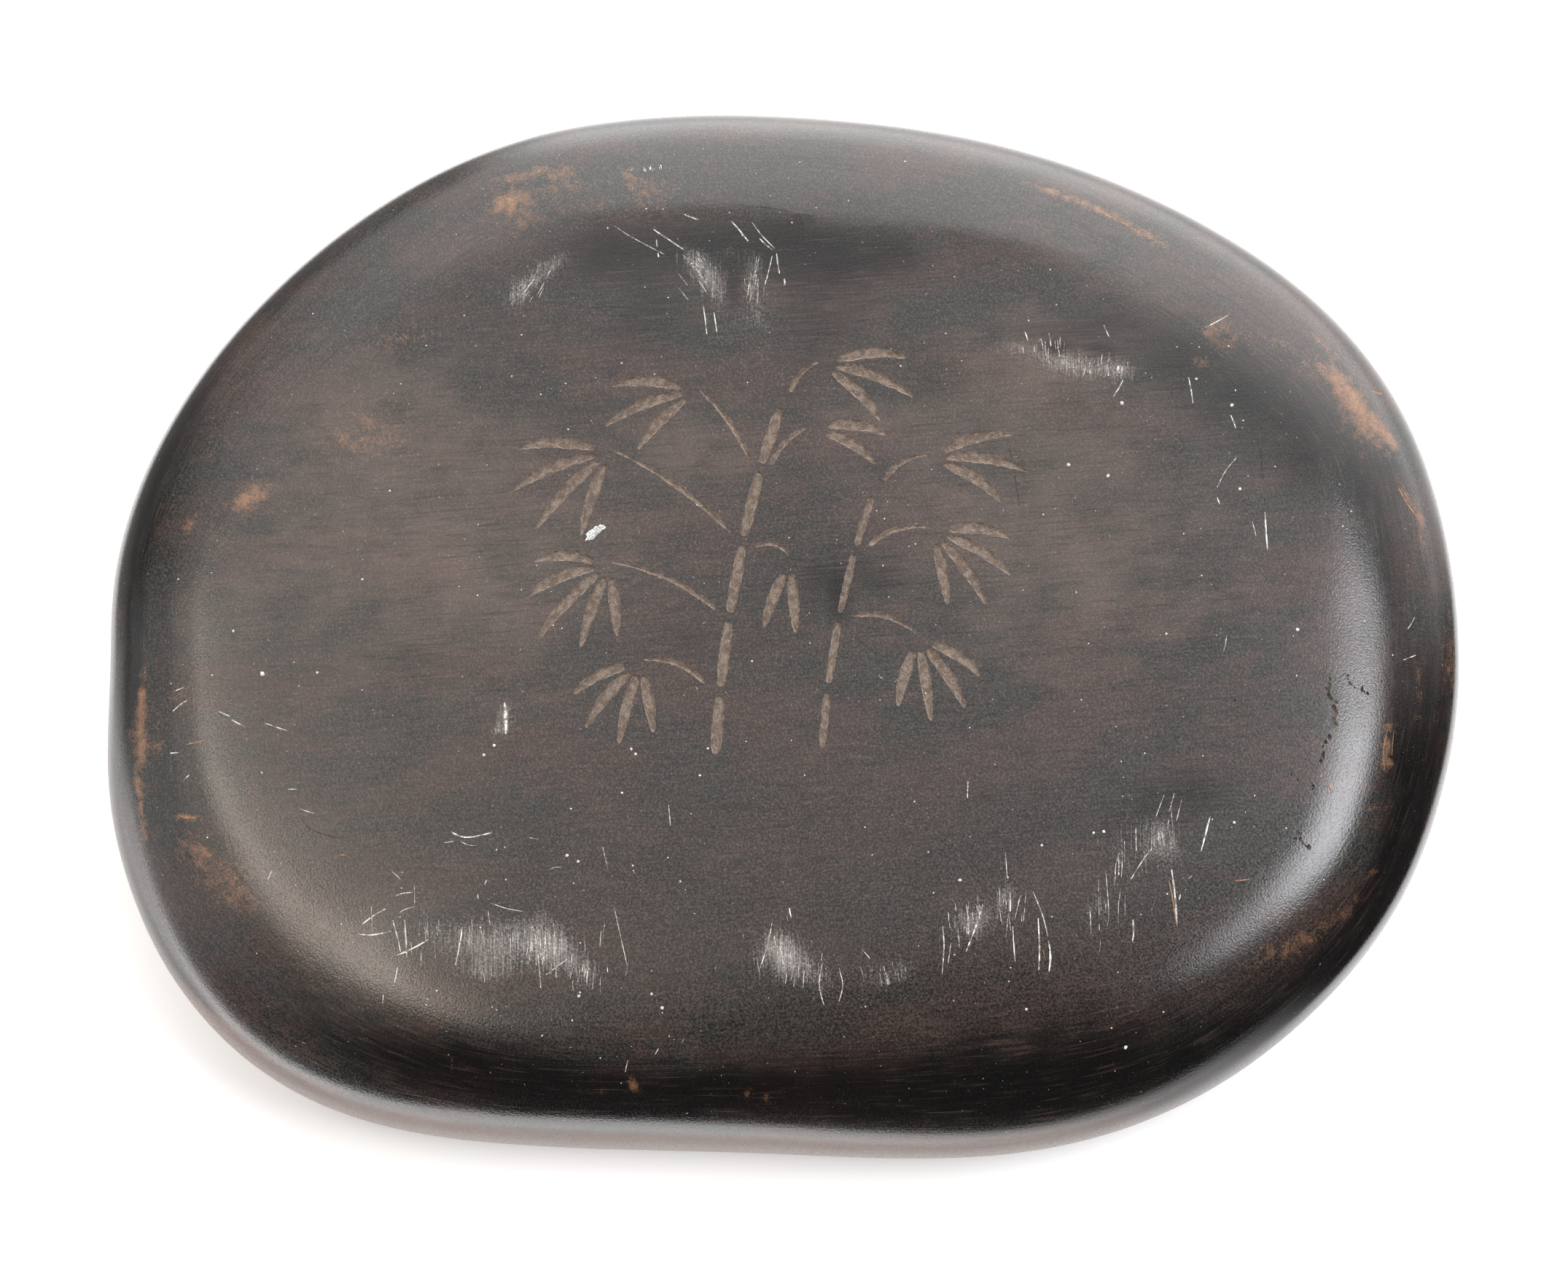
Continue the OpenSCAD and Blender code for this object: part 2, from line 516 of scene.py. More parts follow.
        def ring(reach: np.ndarray | float, level: np.ndarray | float) -> np.ndarray:
            """Returns the ring that lies inside the widest line by reach, at a level."""
            inset = flat - outward * np.reshape(np.broadcast_to(reach, len(flat)), (-1, 1))
            return np.column_stack([inset, np.broadcast_to(level, len(flat))])

        rings, down = [], []
        upper = self.height - self.belt
        for k in range(self.upper_rows, -1, -1):
            inner, rise = self.quarter(k, self.upper_rows)
            level = self.belt + upper * rise
            rings.append(ring(roll * inner, level))
            down.append(-math.hypot(mean_roll * inner, level - self.belt))
        for k in range(1, self.lower_rows + 1):
            inner, fall = self.quarter(k, self.lower_rows)
            level = self.belt * (1 - fall)
            rings.append(ring(self.rim_roll * inner, level))
            down.append(math.hypot(self.rim_roll * inner, level - self.belt))
        rim_inner = self.rim_roll + self.rim
        for k in range(1, self.rim_parts + 1):
            rings.append(ring(self.rim_roll + self.rim * (k / self.rim_parts), 0))
            down.append(down[-1] + self.rim / self.rim_parts)
        depth = self.floor_depth(ring(rim_inner + self.wall, 0)[:, :2])
        for k in range(1, self.wall_rows + 1):
            t = k / self.wall_rows
            rings.append(ring(rim_inner + self.wall * t, depth * smooth(np.array(t))))
            down.append(down[-1] + self.wall / self.wall_rows)
        return rings, down

    def cap(self, edge: np.ndarray) -> tuple[np.ndarray, list[tuple[int, ...]]]:
        """Fills a ring with an even net of triangles.

        Args:
            edge: The ring's points in plan, anticlockwise.

        Returns:
            The points inside the ring, and triangles that number the ring's
            points first and then those.
        """
        low, high = edge.min(0), edge.max(0)
        rise = self.spacing * math.sqrt(3) / 2
        net = [
            (low[0] + (column + 0.5 * (row % 2)) * self.spacing, low[1] + row * rise)
            for row in range(int((high[1] - low[1]) / rise) + 2)
            for column in range(int((high[0] - low[0]) / self.spacing) + 2)
        ]
        inner = np.array(net)
        turn = np.arctan2(edge[:, 1], edge[:, 0])
        order = np.argsort(turn)
        reach = np.interp(
            np.arctan2(inner[:, 1], inner[:, 0]),
            turn[order], np.hypot(edge[:, 0], edge[:, 1])[order], period=2 * math.pi,
        )
        inner = inner[np.hypot(inner[:, 0], inner[:, 1]) < reach - self.net_clear * self.spacing]
        everything = [Vector(p) for p in np.vstack([edge, inner])]
        found = delaunay_2d_cdt(everything, [], [list(range(len(edge)))], 1, self.merge_mm)
        number = [origin[0] for origin in found[3]]
        return inner, [tuple(number[i] for i in face) for face in found[2]]

    def build(self) -> None:
        """Makes the skin's points, faces and side coordinates, with its relief."""
        rings, down = self.rows()
        last = (len(rings) - 1) * self.steps
        points = np.vstack(rings)
        phase = np.tile(np.arange(self.steps) * 2 * math.pi / self.steps, len(rings))
        drop = np.repeat(down, self.steps)
        flat_edge = KDTree(self.steps)
        for i in range(self.steps):
            flat_edge.insert((*points[i, :2], 0), i)
        flat_edge.balance()
        faces: list[tuple[int, ...]] = []
        for r in range(len(rings) - 1):
            for i in range(self.steps):
                a, b = r * self.steps + i, r * self.steps + (i + 1) % self.steps
                faces.append((a, a + self.steps, b + self.steps, b))
        for start, underneath in ((0, False), (last, True)):
            edge = points[start : start + self.steps]
            inner, net = self.cap(edge[:, :2])
            level = self.floor_depth(inner) if underneath else np.full(len(inner), self.height)
            shift = len(points) - self.steps
            points = np.vstack([points, np.column_stack([inner, level])])
            phase = np.append(phase, np.arctan2(inner[:, 1], inner[:, 0]))
            drop = np.append(drop, np.full(len(inner), drop[start]))
            for face in net:
                turned = tuple(start + i if i < self.steps else shift + i for i in face)
                faces.append(turned[::-1] if underneath else turned)
        gap = np.array([flat_edge.find((x, y, 0))[2] for x, y in points[:, :2]])
        on_top = np.arange(len(points)) >= last + self.steps
        on_top &= points[:, 2] > self.belt
        self.outside = np.where(on_top, -gap, gap)
        mean_radius = (self.length + self.width) / 4
        self.around = np.column_stack([np.cos(phase) * mean_radius, np.sin(phase) * mean_radius, drop])
        self.faces = faces
        self.points = points
        self.find()
        self.points = self.points + self.relief()
        self.find()

    def find(self) -> None:
        """Makes the search tree of the skin as it is now."""
        self.tree = BVHTree.FromPolygons([Vector(p) for p in self.points], self.faces)

    def relief(self) -> np.ndarray:
        """Works out how far hand rubbing has moved each point of the skin.

        Returns:
            The moves in millimetres.
        """
        mesh = bpy.data.meshes.new("plain_skin")
        mesh.from_pydata(self.points.tolist(), [], self.faces)
        normals = values_of(mesh.vertex_normals, "vector", size=3)
        bpy.data.meshes.remove(mesh)
        shift = Vector(self.rubbed_shift)
        swell = np.array([
            self.broad_relief * (noise.noise(Vector(p) / self.broad_mm) - self.broad_mean)
            + self.rubbed_relief * noise.noise(Vector(p) / self.rubbed_mm + shift)
            for p in self.points
        ])
        on_rim = smooth(1 - self.points[:, 2] / self.rim_blend)
        slope = np.degrees(np.arccos(np.clip(normals[:, 2], -1, 1)))
        full = self.edge_fullness * np.exp(-(((slope - self.full_at) / self.full_over) ** 2))
        move = normals * (swell * (1 - on_rim) + full)[:, None]
        within = self.shoulder_inside * np.exp(np.minimum(self.outside, 0) / self.shoulder_inside)
        beyond = 1 - np.exp(-np.maximum(self.outside, 0) / self.shoulder_outside)
        sink = self.shoulder_slope * (within + self.shoulder_outside * beyond)
        move[:, 2] -= sink * smooth(self.points[:, 2] / self.height)
        ridge = np.array([self.seen(pixel)[0][:2] for pixel in self.crease])
        behind = self.points[:, 1] - np.interp(self.points[:, 0], ridge[:, 0], ridge[:, 1])
        ends = smooth((self.points[:, 0] - ridge[0, 0]) / self.crease_ends)
        ends = ends * smooth((ridge[-1, 0] - self.points[:, 0]) / self.crease_ends)
        above = smooth((self.points[:, 2] - self.belt) / self.crease_above)
        rise = np.clip(1 + np.minimum(behind, 0) / self.crease_approach, 0, 1) ** 2
        fall = 1 - np.exp(-np.clip(behind, 0, None) / self.crease_width)
        move[:, 2] += (self.crease_lift * rise - self.crease_drop * fall) * ends * above
        return move

    def seen(self, pixel: Pixel) -> tuple[np.ndarray, np.ndarray]:
        """Finds the place on the skin that a pixel of the photograph shows.

        Args:
            pixel: Its column and row.

        Returns:
            The place and the skin's normal there.
        """
        start, ahead = self.camera.ray(pixel)
        place, normal, _, _ = self.tree.ray_cast(start, ahead)
        if place is None:
            place, normal, _, _ = self.tree.find_nearest(start + ahead * self.camera.distance)
        return np.array(place), np.array(normal)

    def under(self, place: Place) -> tuple[np.ndarray, np.ndarray]:
        """Finds the skin's upper side at a place in plan.

        Args:
            place: The place.

        Returns:
            The place on the skin and the skin's normal there.
        """
        top = Vector((place[0], place[1], self.height * 2))
        found, normal, _, _ = self.tree.ray_cast(top, Vector((0, 0, -1)))
        return np.array(found), np.array(normal)

    def mask(self, points: np.ndarray, spots: Sequence[Spot]) -> np.ndarray:
        """Works out how strongly a set of soft patches covers each point.

        Args:
            points: The points, in millimetres.
            spots: The patches.

        Returns:
            A value from 0 to 1 for each point.
        """
        clear = np.ones(len(points))
        for spot in spots:
            middle, normal = self.seen(spot.pixel)
            turn = math.radians(spot.turn)
            across = np.cross(normal, (math.cos(turn), math.sin(turn), 0))
            across /= np.linalg.norm(across)
            along = np.cross(across, normal)
            offset = points - middle
            square = (offset @ along / spot.along) ** 2 + (offset @ across / spot.across) ** 2
            deep = self.patch_deep + self.patch_share * max(spot.along, spot.across)
            square += (offset @ normal / deep) ** 2
            clear *= 1 - np.clip(spot.strength, 0, 1) * np.exp(-square)
        return 1 - clear


def evened(points: Sequence[Sequence[float]], spacing: float) -> np.ndarray:
    """Draws a smooth line through points, with stations at an even spacing.

    Args:
        points: Two or more points in plan or in pixels.
        spacing: The distance between stations, in the points' own unit.

    Returns:
        The stations.
    """
    line = np.array(points, float)
    padded = np.vstack([2 * line[0] - line[1], line, 2 * line[-1] - line[-2]])
    dense = []
    for i in range(len(line) - 1):
        a, b, c, d = padded[i : i + 4]
        for t in np.linspace(0, 1, DENSE, endpoint=False):
            dense.append(0.5 * (2 * b + (c - a) * t + (2 * a - 5 * b + 4 * c - d) * t**2
                                + (3 * b - a - 3 * c + d) * t**3))
    dense.append(line[-1])
    curve = np.array(dense)
    run = np.append(0, np.cumsum(np.linalg.norm(np.diff(curve, axis=0), axis=1)))
    count = max(FEWEST, round(run[-1] / spacing))
    at = np.linspace(0, run[-1], count + 1)
    return np.column_stack([np.interp(at, run, curve[:, k]) for k in range(2)])


def sides_of(places: np.ndarray, normals: np.ndarray) -> np.ndarray:
    """Finds the directions to the left of a line that lies on the skin.

    Args:
        places: Stations along the line.
        normals: The skin's normals there.

    Returns:
        A unit vector for each station.
    """
    run = np.gradient(places, axis=0)
    side = np.cross(normals, run)
    return side / np.linalg.norm(side, axis=1)[:, None]


def axes_on(normal: np.ndarray) -> tuple[np.ndarray, np.ndarray]:
    """Finds two directions square to each other that lie in a surface.

    Args:
        normal: The surface's unit normal, which doesn't point along Y.

    Returns:
        The two unit vectors.
    """
    across = np.cross(normal, (0.0, 1.0, 0.0))
    across /= np.linalg.norm(across)
    return across, np.cross(normal, across)


@dataclass
class Engraving:
    """The bamboo motif: V-cuts in the flat underside, and the dried pigment in them."""

    skin: Skin
    culm_w: float = 1.8
    twig_w: float = 0.9
    leaf_w: float = 1.8
    cut_slope: float = 0.7
    cut_gap: float = 1.0
    pigment_drop: float = 0.2
    twig_bow: float = 1.6
    leaf_bow: float = 1.1
    leaf_spread: float = 24.0
    motif_x: float = -5.0
    motif_y: float = 2.0
    root_gaps: float = 2.3
    leaf_loss: float = 0.16
    # Where along it a cut is widest, and its fullness: low for a long even cut,
    # high for a slender one
    culm_form: tuple[float, float] = (0.5, 0.25)
    twig_form: tuple[float, float] = (0.35, 0.6)
    leaf_form: tuple[float, float] = (0.4, 0.6)
    proud: float = 0.3
    spacing: float = 0.45
    least_stations: int = 8
    # The chisel's unevenness: a slow waver, in the width, and nicks in the walls
    waver_mm: float = 0.05
    waver_per_mm: float = 0.9
    waver_level: float = 3.0
    width_share: float = 0.05
    nick_mm: float = 0.035
    wall_break: float = 0.52
    # How far the pigment is pressed into the walls at its rim, at its foot and at
    # its ends, so that no gap shows, and how its surface dried
    bedded: float = 0.05
    foot: float = 0.06
    end_deep: float = 0.04
    end_reach: float = 0.6
    least_held: int = 4
    dried: tuple[float, float] = (-0.06, 0.03)
    seed: int = 11
    culms: tuple[tuple[float, tuple[Place, ...]], ...] = (
        (1, ((-6, -26), (-5.2, -15), (-3.8, -3), (-1.6, 9.5), (1.2, 21.5), (4.6, 32))),
        (0.7, ((11, -25), (12, -14.5), (13.8, -3), (16.4, 8), (19.4, 17.5))),
    )
    # Twigs and their leaves: start, end, aim in degrees, leaves, longest leaf
    sprays: tuple[tuple[Place, Place, float, int, float], ...] = (
        ((-7.4, -14), (-18, -10), 244, 4, 13), ((-5.6, -2), (-23, 6), 228, 5, 15),
        ((-3.4, 10.6), (-23, 24.5), 216, 4, 17), ((-0.4, 22.6), (-9, 34.5), 203, 3, 14),
        ((6, 33.6), (11, 39), 338, 3, 14), ((2.8, 21.6), (9.5, 28.4), 340, 2, 11),
        ((21, 19), (28.5, 23.5), 350, 3, 14), ((18.4, 8.4), (29, 11.5), 316, 4, 14),
        ((15.6, -2.8), (26.5, -6), 290, 4, 13), ((0, 8.4), (6, 6.6), 262, 2, 11),
    )
    cuts: list[Solid] = field(default_factory=list)
    fills: list[Solid] = field(default_factory=list)

    def cut(
        self, start: np.ndarray, end: np.ndarray, bow: float, width: float, form: tuple[float, float]
    ) -> None:
        """Adds one tapered cut and the pigment that lies in it.

        Args:
            start: One end in plan.
            end: The other end in plan.
            bow: How far a level cut bows upwards.
            width: Its width at the surface.
            form: The part of its length at which it is widest, and its fullness.
        """
        peak, fullness = form
        run = end - start
        length = float(np.linalg.norm(run))
        side = np.array([-run[1], run[0]]) / length
        count = max(self.least_stations, round(length / self.spacing))
        t = np.arange(1, count) / count
        lean = math.log(0.5) / math.log(peak)
        shape = np.sin(math.pi * t**lean) ** fullness
        bowed = (bow * run[0] / length * 4 * t * (1 - t))[:, None]
        plan = start + run * t[:, None] + side * bowed
        found = [self.skin.under(p) for p in plan]
        places = np.array([f[0] for f in found])
        sides = sides_of(places, np.tile(UP, (len(t), 1)))
        draw = Random(self.seed + len(self.cuts))
        at = [Vector((p[0], p[1], self.waver_level)) * self.waver_per_mm for p in plan]
        waver = np.array([self.waver_mm * noise.noise(p) for p in at])
        uneven = [draw.uniform(-self.width_share, self.width_share) for _ in t]
        wide = (width / 2) * shape * (1 + np.array(uneven))
        places = places + sides * waver[:, None]
        rise = self.proud / self.cut_slope
        ring = []
        for k, half in enumerate(wide):
            nick = [draw.gauss(0, self.nick_mm) for _ in range(6)]
            middle = self.wall_break * half
            section = (
                (-(half + rise) + nick[0], self.proud),
                (-middle + nick[1], -middle * self.cut_slope + nick[2]),
                (nick[3] / 2, -half * self.cut_slope),
                (middle + nick[4], -middle * self.cut_slope + nick[2]),
                (half + rise + nick[5], self.proud),
            )
            ring.append([places[k] + sides[k] * a + UP * b for a, b in section])
        ends = [np.append(p, places[i][2] + self.proud) for p, i in ((start, 0), (end, -1))]
        self.cuts.append(loft(np.array(ring), ends[0], ends[1], Fill.CUT))
        self.fill(places, sides, wide, draw)

    def fill(self, places: np.ndarray, sides: np.ndarray, wide: np.ndarray, draw: Random) -> None:
        """Adds the pigment in one cut, cracked and uneven as it dried.

        Args:
            places: Stations along the cut, on the stone's surface.
            sides: The unit vectors to the left of the cut.
            wide: The cut's half widths at the surface.
            draw: The source of the small unevenness.
        """
        set_in = self.pigment_drop / self.cut_slope
        least = set_in + self.foot
        held = np.flatnonzero(wide > least)
        if len(held) < self.least_held:
            return
        held = np.arange(held[0], held[-1] + 1)
        sunk = -self.pigment_drop
        rings = []
        for k in held:
            half = max(wide[k] - set_in, self.end_deep) + self.bedded
            bumps = [draw.uniform(*self.dried) for _ in range(3)]
            section = (
                (-half, sunk + self.bedded),
                (-0.5 * half, sunk + bumps[0]),
                (0.0, sunk + bumps[1]),
                (0.5 * half, sunk + bumps[2]),
                (half, sunk + self.bedded),
                (0.0, -max(wide[k], least) * self.cut_slope - self.foot),
            )
            rings.append([places[k] + sides[k] * a + UP * b for a, b in section])
        deep = UP * (self.pigment_drop + self.end_deep)
        ends = []
        for at, near in ((held[0], 1), (held[-1], -1)):
            ends.append(places[at] - (places[at + near] - places[at]) * self.end_reach - deep)
        self.fills.append(loft(np.array(rings), ends[0], ends[1]))

    def build(self) -> None:
        """Works out every cut of the motif."""
        middle = np.array([self.motif_x, self.motif_y])
        for share, joints in self.culms:
            for low, high in zip(joints, joints[1:]):
                a, b = np.array(low) + middle, np.array(high) + middle
                gap = (b - a) / np.linalg.norm(b - a) * self.cut_gap / 2
                self.cut(a + gap, b - gap, 0, self.culm_w * share, self.culm_form)
        for start, end, aim, leaves, longest in self.sprays:
            a, b = np.array(start) + middle, np.array(end) + middle
            self.cut(a, b, self.twig_bow, self.twig_w, self.twig_form)
            for k in range(leaves):
                place = k - (leaves - 1) / 2
                turn = math.radians(aim + place * self.leaf_spread)
                out = np.array([math.cos(turn), math.sin(turn)])
                root = b + out * self.cut_gap * self.root_gaps
                tip = root + out * longest * (1 - self.leaf_loss * abs(place))
                self.cut(root, tip, self.leaf_bow, self.leaf_w, self.leaf_form)


@dataclass
class Wear:
    """The marks of years on a desk that are cut into the skin: grooves and pits."""

    skin: Skin
    depth_share: float = 0.35
    proud: float = 0.05
    least_half: float = 0.01
    taper: float = 0.35
    # How a groove's width comes and goes: over how far, its least and its usual share
    skip_mm: float = 1.5
    faintest: float = 0.1
    usual: float = 0.9
    beats: float = 90.0
    pit_depth: float = 0.25
    pit_corners: int = 11
    pit_ragged: tuple[float, float] = (0.65, 1.3)
    pit_stretch: tuple[float, float] = (0.8, 1.2)
    # The pit's rings, from its mouth down: shares of its radius and of its depth
    pit_rings: tuple[tuple[float, float], ...] = ((1.1, 0.2), (0.85, -0.25), (0.45, -0.8))
    spacing: float = 0.45
    seed: int = 5
    marks: list[Solid] = field(default_factory=list)
    # White scratches
    scratches: tuple[Stroke, ...] = (
        (0.25, ((617, 1141), (640, 1149), (678, 1142))), (0.19, ((606, 1157), (624, 1154))),
        (0.11, ((629, 1153), (641, 1159), (656, 1161))), (0.22, ((635, 1269), (630, 1300), (624, 1327))),
        (0.17, ((737, 1299), (740, 1330), (742, 1359))), (0.11, ((723, 1149), (742, 1152))),
        (0.11, ((751, 1195), (762, 1190), (774, 1191))), (0.09, ((670, 1238), (696, 1247), (721, 1251))),
        (0.11, ((917, 1101), (920, 1136))), (0.5, ((692, 962), (694, 985), (694, 1010))),
        (0.17, ((236, 950), (255, 942))), (0.19, ((235, 978), (247, 967), (259, 960))),
        (0.17, ((231, 1034), (248, 1032))), (0.17, ((250, 1072), (262, 1061))),
        (0.11, ((297, 975), (318, 984))), (0.17, ((318, 988), (339, 999))),
        (0.11, ((360, 991), (397, 1004))), (0.09, ((392, 1083), (410, 1083))),
        (0.09, ((410, 1110), (434, 1117))), (0.11, ((374, 1192), (366, 1211))),
        (0.19, ((494, 1271), (510, 1258), (531, 1246))), (0.22, ((487, 1281), (510, 1283), (539, 1277))),
        (0.19, ((538, 1260), (545, 1285), (550, 1309))), (0.22, ((555, 1259), (557, 1290), (558, 1317))),
        (0.25, ((542, 1312), (565, 1302), (590, 1288))), (0.17, ((546, 1324), (543, 1340), (540, 1355))),
        (0.19, ((526, 1362), (525, 1379))), (0.11, ((539, 1231), (552, 1226), (569, 1224))),
        (0.11, ((1328, 1069), (1327, 1098))), (0.25, ((1349, 1238), (1340, 1268), (1324, 1309))),
        (0.17, ((1293, 1267), (1295, 1300), (1292, 1340))), (0.19, ((1386, 1222), (1386, 1254))),
        (0.17, ((1389, 1267), (1391, 1300), (1393, 1323))),
        (0.25, ((1424, 1257), (1426, 1300), (1425, 1334))),
        (0.17, ((1416, 1221), (1430, 1255), (1438, 1288))),
        (0.3, ((1438, 1288), (1441, 1310), (1439, 1336))), (0.14, ((1495, 1241), (1497, 1284))),
        (0.17, ((1558, 1133), (1559, 1170))), (0.14, ((1582, 1162), (1568, 1180), (1550, 1209))),
        (0.11, ((1598, 1088), (1585, 1123))), (0.28, ((1607, 1190), (1612, 1230), (1615, 1273))),
        (0.25, ((1661, 1117), (1655, 1140), (1647, 1171))),
        (0.25, ((1554, 1259), (1555, 1280), (1553, 1296))), (0.17, ((1620, 1225), (1617, 1237))),
        (0.14, ((1650, 451), (1668, 442), (1687, 431))), (0.19, ((1687, 567), (1692, 578), (1696, 590))),
        (0.14, ((1699, 625), (1682, 645), (1668, 672))), (0.17, ((1669, 680), (1674, 694))),
        (0.25, ((1735, 700), (1737, 730), (1739, 759))), (0.14, ((1717, 712), (1724, 739))),
        (0.19, ((1630, 515), (1634, 535), (1637, 556))), (0.19, ((1542, 519), (1535, 532), (1526, 547))),
        (0.17, ((1513, 443), (1518, 455), (1523, 465))), (0.17, ((1405, 453), (1408, 460), (1411, 470))),
        (0.14, ((1440, 460), (1442, 478))), (0.11, ((1942, 844), (1936, 856), (1929, 866))),
        (0.11, ((1922, 907), (1945, 898))), (0.11, ((1683, 869), (1681, 885), (1677, 898))),
        (0.25, ((894, 313), (915, 327), (940, 344))), (0.19, ((900, 326), (902, 342))),
        (0.22, ((902, 345), (904, 354))), (0.19, ((936, 293), (948, 298), (962, 303))),
        (0.25, ((1001, 301), (1012, 313), (1028, 333))), (0.19, ((1030, 303), (1046, 324), (1065, 343))),
        (0.17, ((1040, 325), (1052, 337), (1062, 344))), (0.22, ((1065, 345), (1067, 362), (1070, 378))),
        (0.22, ((1076, 380), (1077, 394))), (0.12, ((1060, 348), (1055, 370), (1048, 394))),
        (0.17, ((964, 415), (967, 435), (970, 462))), (0.17, ((979, 426), (984, 458))),
        (0.1, ((840, 308), (866, 325), (915, 351))), (0.14, ((862, 1452), (857, 1474))),
        (0.11, ((905, 1436), (897, 1450))), (0.11, ((940, 1422), (934, 1434))),
        (0.11, ((1150, 1325), (1156, 1352), (1150, 1378))),
        (0.17, ((1128, 1320), (1124, 1352), (1131, 1382))),
        (0.14, ((1060, 1262), (1052, 1300), (1040, 1336))), (0.17, ((1082, 1243), (1086, 1262))),
        (0.11, ((1180, 1300), (1196, 1318))), (0.08, ((826, 1159), (835, 1198))),
        (0.1, ((842, 1243), (861, 1328))), (0.1, ((746, 1340), (758, 1331), (781, 1314))),
        (0.08, ((1612, 1085), (1603, 1117))), (0.08, ((1622, 1093), (1613, 1130))),
        (0.16, ((668, 1206), (664, 1216))), (0.1, ((1628, 1208), (1638, 1199))),
        (0.1, ((1305, 1291), (1300, 1326))), (0.08, ((1379, 1165), (1382, 1209))),
        (0.1, ((1517, 1195), (1521, 1254), (1518, 1275))), (0.08, ((1225, 938), (1234, 930))),
        (0.08, ((1205, 923), (1208, 930), (1214, 930))), (0.07, ((493, 1246), (498, 1262))),
        (0.07, ((509, 1240), (511, 1282))), (0.08, ((545, 1254), (558, 1247), (572, 1244))),
        (0.07, ((568, 1210), (569, 1245))), (0.07, ((536, 1194), (552, 1209))),
    )
    # Dark hair cracks, where nothing white has settled
    cracks: tuple[Stroke, ...] = (
        # The first follows the back crease, and its dark fill is painted shade there
        (0.15, ((983, 279), (1018, 281), (1063, 287), (1120, 298))),
        (0.15, ((1381, 598), (1390, 640), (1399, 697))), (0.17, ((1728, 590), (1731, 640), (1735, 697))),
        (0.17, ((1605, 520), (1608, 545), (1616, 563))), (0.15, ((1618, 590), (1620, 625), (1609, 653))),
        (0.23, ((1620, 1187), (1649, 1193), (1684, 1177))),
        (0.17, ((526, 1495), (608, 1511), (697, 1533))), (0.15, ((1619, 500), (1622, 545))),
        (0.15, ((408, 1120), (430, 1140), (471, 1152))), (0.12, ((626, 1064), (646, 1047))),
    )
    # Thin tan scrapes where the wax is gone
    scrapes: tuple[Stroke, ...] = (
        (0.3, ((1880, 536), (1898, 541))), (0.25, ((1692, 1209), (1717, 1206))),
        (0.12, ((1904, 998), (1898, 1030), (1900, 1060))), (0.1, ((1912, 1002), (1909, 1040))),
        (0.4, ((246, 1120), (271, 1122))), (0.25, ((253, 1022), (284, 1015))),
        (0.25, ((462, 1173), (476, 1173))), (0.3, ((1918, 668), (1930, 690), (1946, 712))),
        (0.3, ((1500, 288), (1530, 300), (1562, 318))), (0.2, ((1603, 1205), (1609, 1235), (1615, 1275))),
        (0.15, ((1430, 1300), (1434, 1318))), (0.15, ((1815, 1062), (1829, 1092))),
        (0.12, ((1918, 664), (1920, 675))),
    )
    # Ragged fissures in the stone
    fissures: tuple[Stroke, ...] = (
        (0.45, ((1822, 924), (1823, 952), (1830, 964), (1832, 985), (1826, 1001))),
        (0.36, ((1825, 1004), (1818, 1016), (1814, 1034), (1815, 1052))),
        (0.3, ((1844, 921), (1851, 935), (1859, 944), (1868, 947), (1876, 952), (1886, 954))),
        (0.36, ((1781, 1136), (1784, 1149), (1790, 1160), (1801, 1168))),
        (0.21, ((1772, 1152), (1779, 1150))), (0.18, ((1760, 1120), (1765, 1134))),
        (0.21, ((1797, 1078), (1804, 1083))), (0.15, ((1896, 922), (1900, 944))),
        (0.18, ((1770, 1060), (1784, 1076))), (0.21, ((1692, 955), (1697, 972), (1700, 990))),
    )
    crack_deep: float = 1.5
    # A fissure is a ragged groove, narrower than its pits, which lie along it
    fissure_share: float = 0.5
    fissure_deep: float = 1.2
    fissure_ragged: float = 0.9
    fissure_skips: float = 2.5
    pit_every: float = 0.9
    pit_radius: tuple[float, float] = (0.45, 1.2)
    pit_stray: Pixel = (3, 2)
    # Hair-fine parallel scratches in the scuffs: middle, half width and half
    # height in pixels, how many, their lean in degrees and their mean length
    combs: tuple[tuple[Pixel, float, float, int, float, float], ...] = (
        ((585, 1278), 24, 30, 12, 2, 2.6), ((664, 1292), 26, 34, 12, 4, 2.4),
        ((752, 1292), 58, 30, 30, 0, 3.2), ((800, 1334), 34, 22, 16, -3, 2.6),
        ((1066, 1300), 32, 34, 18, 6, 3.0), ((1104, 1336), 30, 22, 12, -4, 2.4),
        ((1216, 1340), 26, 20, 9, 14, 2.2), ((1330, 1268), 32, 26, 16, 8, 3.0),
        ((1392, 1240), 26, 34, 12, -4, 3.4), ((1594, 1150), 26, 36, 9, 3, 3.0),
        ((1538, 1180), 22, 60, 8, -2, 3.6), ((1512, 1250), 26, 44, 6, 1, 3.6),
        ((1430, 480), 40, 20, 16, 2, 2.2), ((1512, 500), 46, 16, 18, -4, 2.0),
        ((962, 372), 30, 26, 14, 38, 2.8), ((1036, 384), 14, 36, 12, -8, 3.2),
        ((735, 384), 22, 30, 14, -32, 2.6), ((893, 231), 23, 4, 16, 6, 0.9),
    )
    hair_width: float = 0.05
    hair_widths: tuple[float, float] = (0.6, 1.8)
    hair_lengths: tuple[float, float] = (0.5, 1.5)
    hair_spread: float = 0.5
    hair_sway: float = 5.0
    hair_skips: float = 1.5

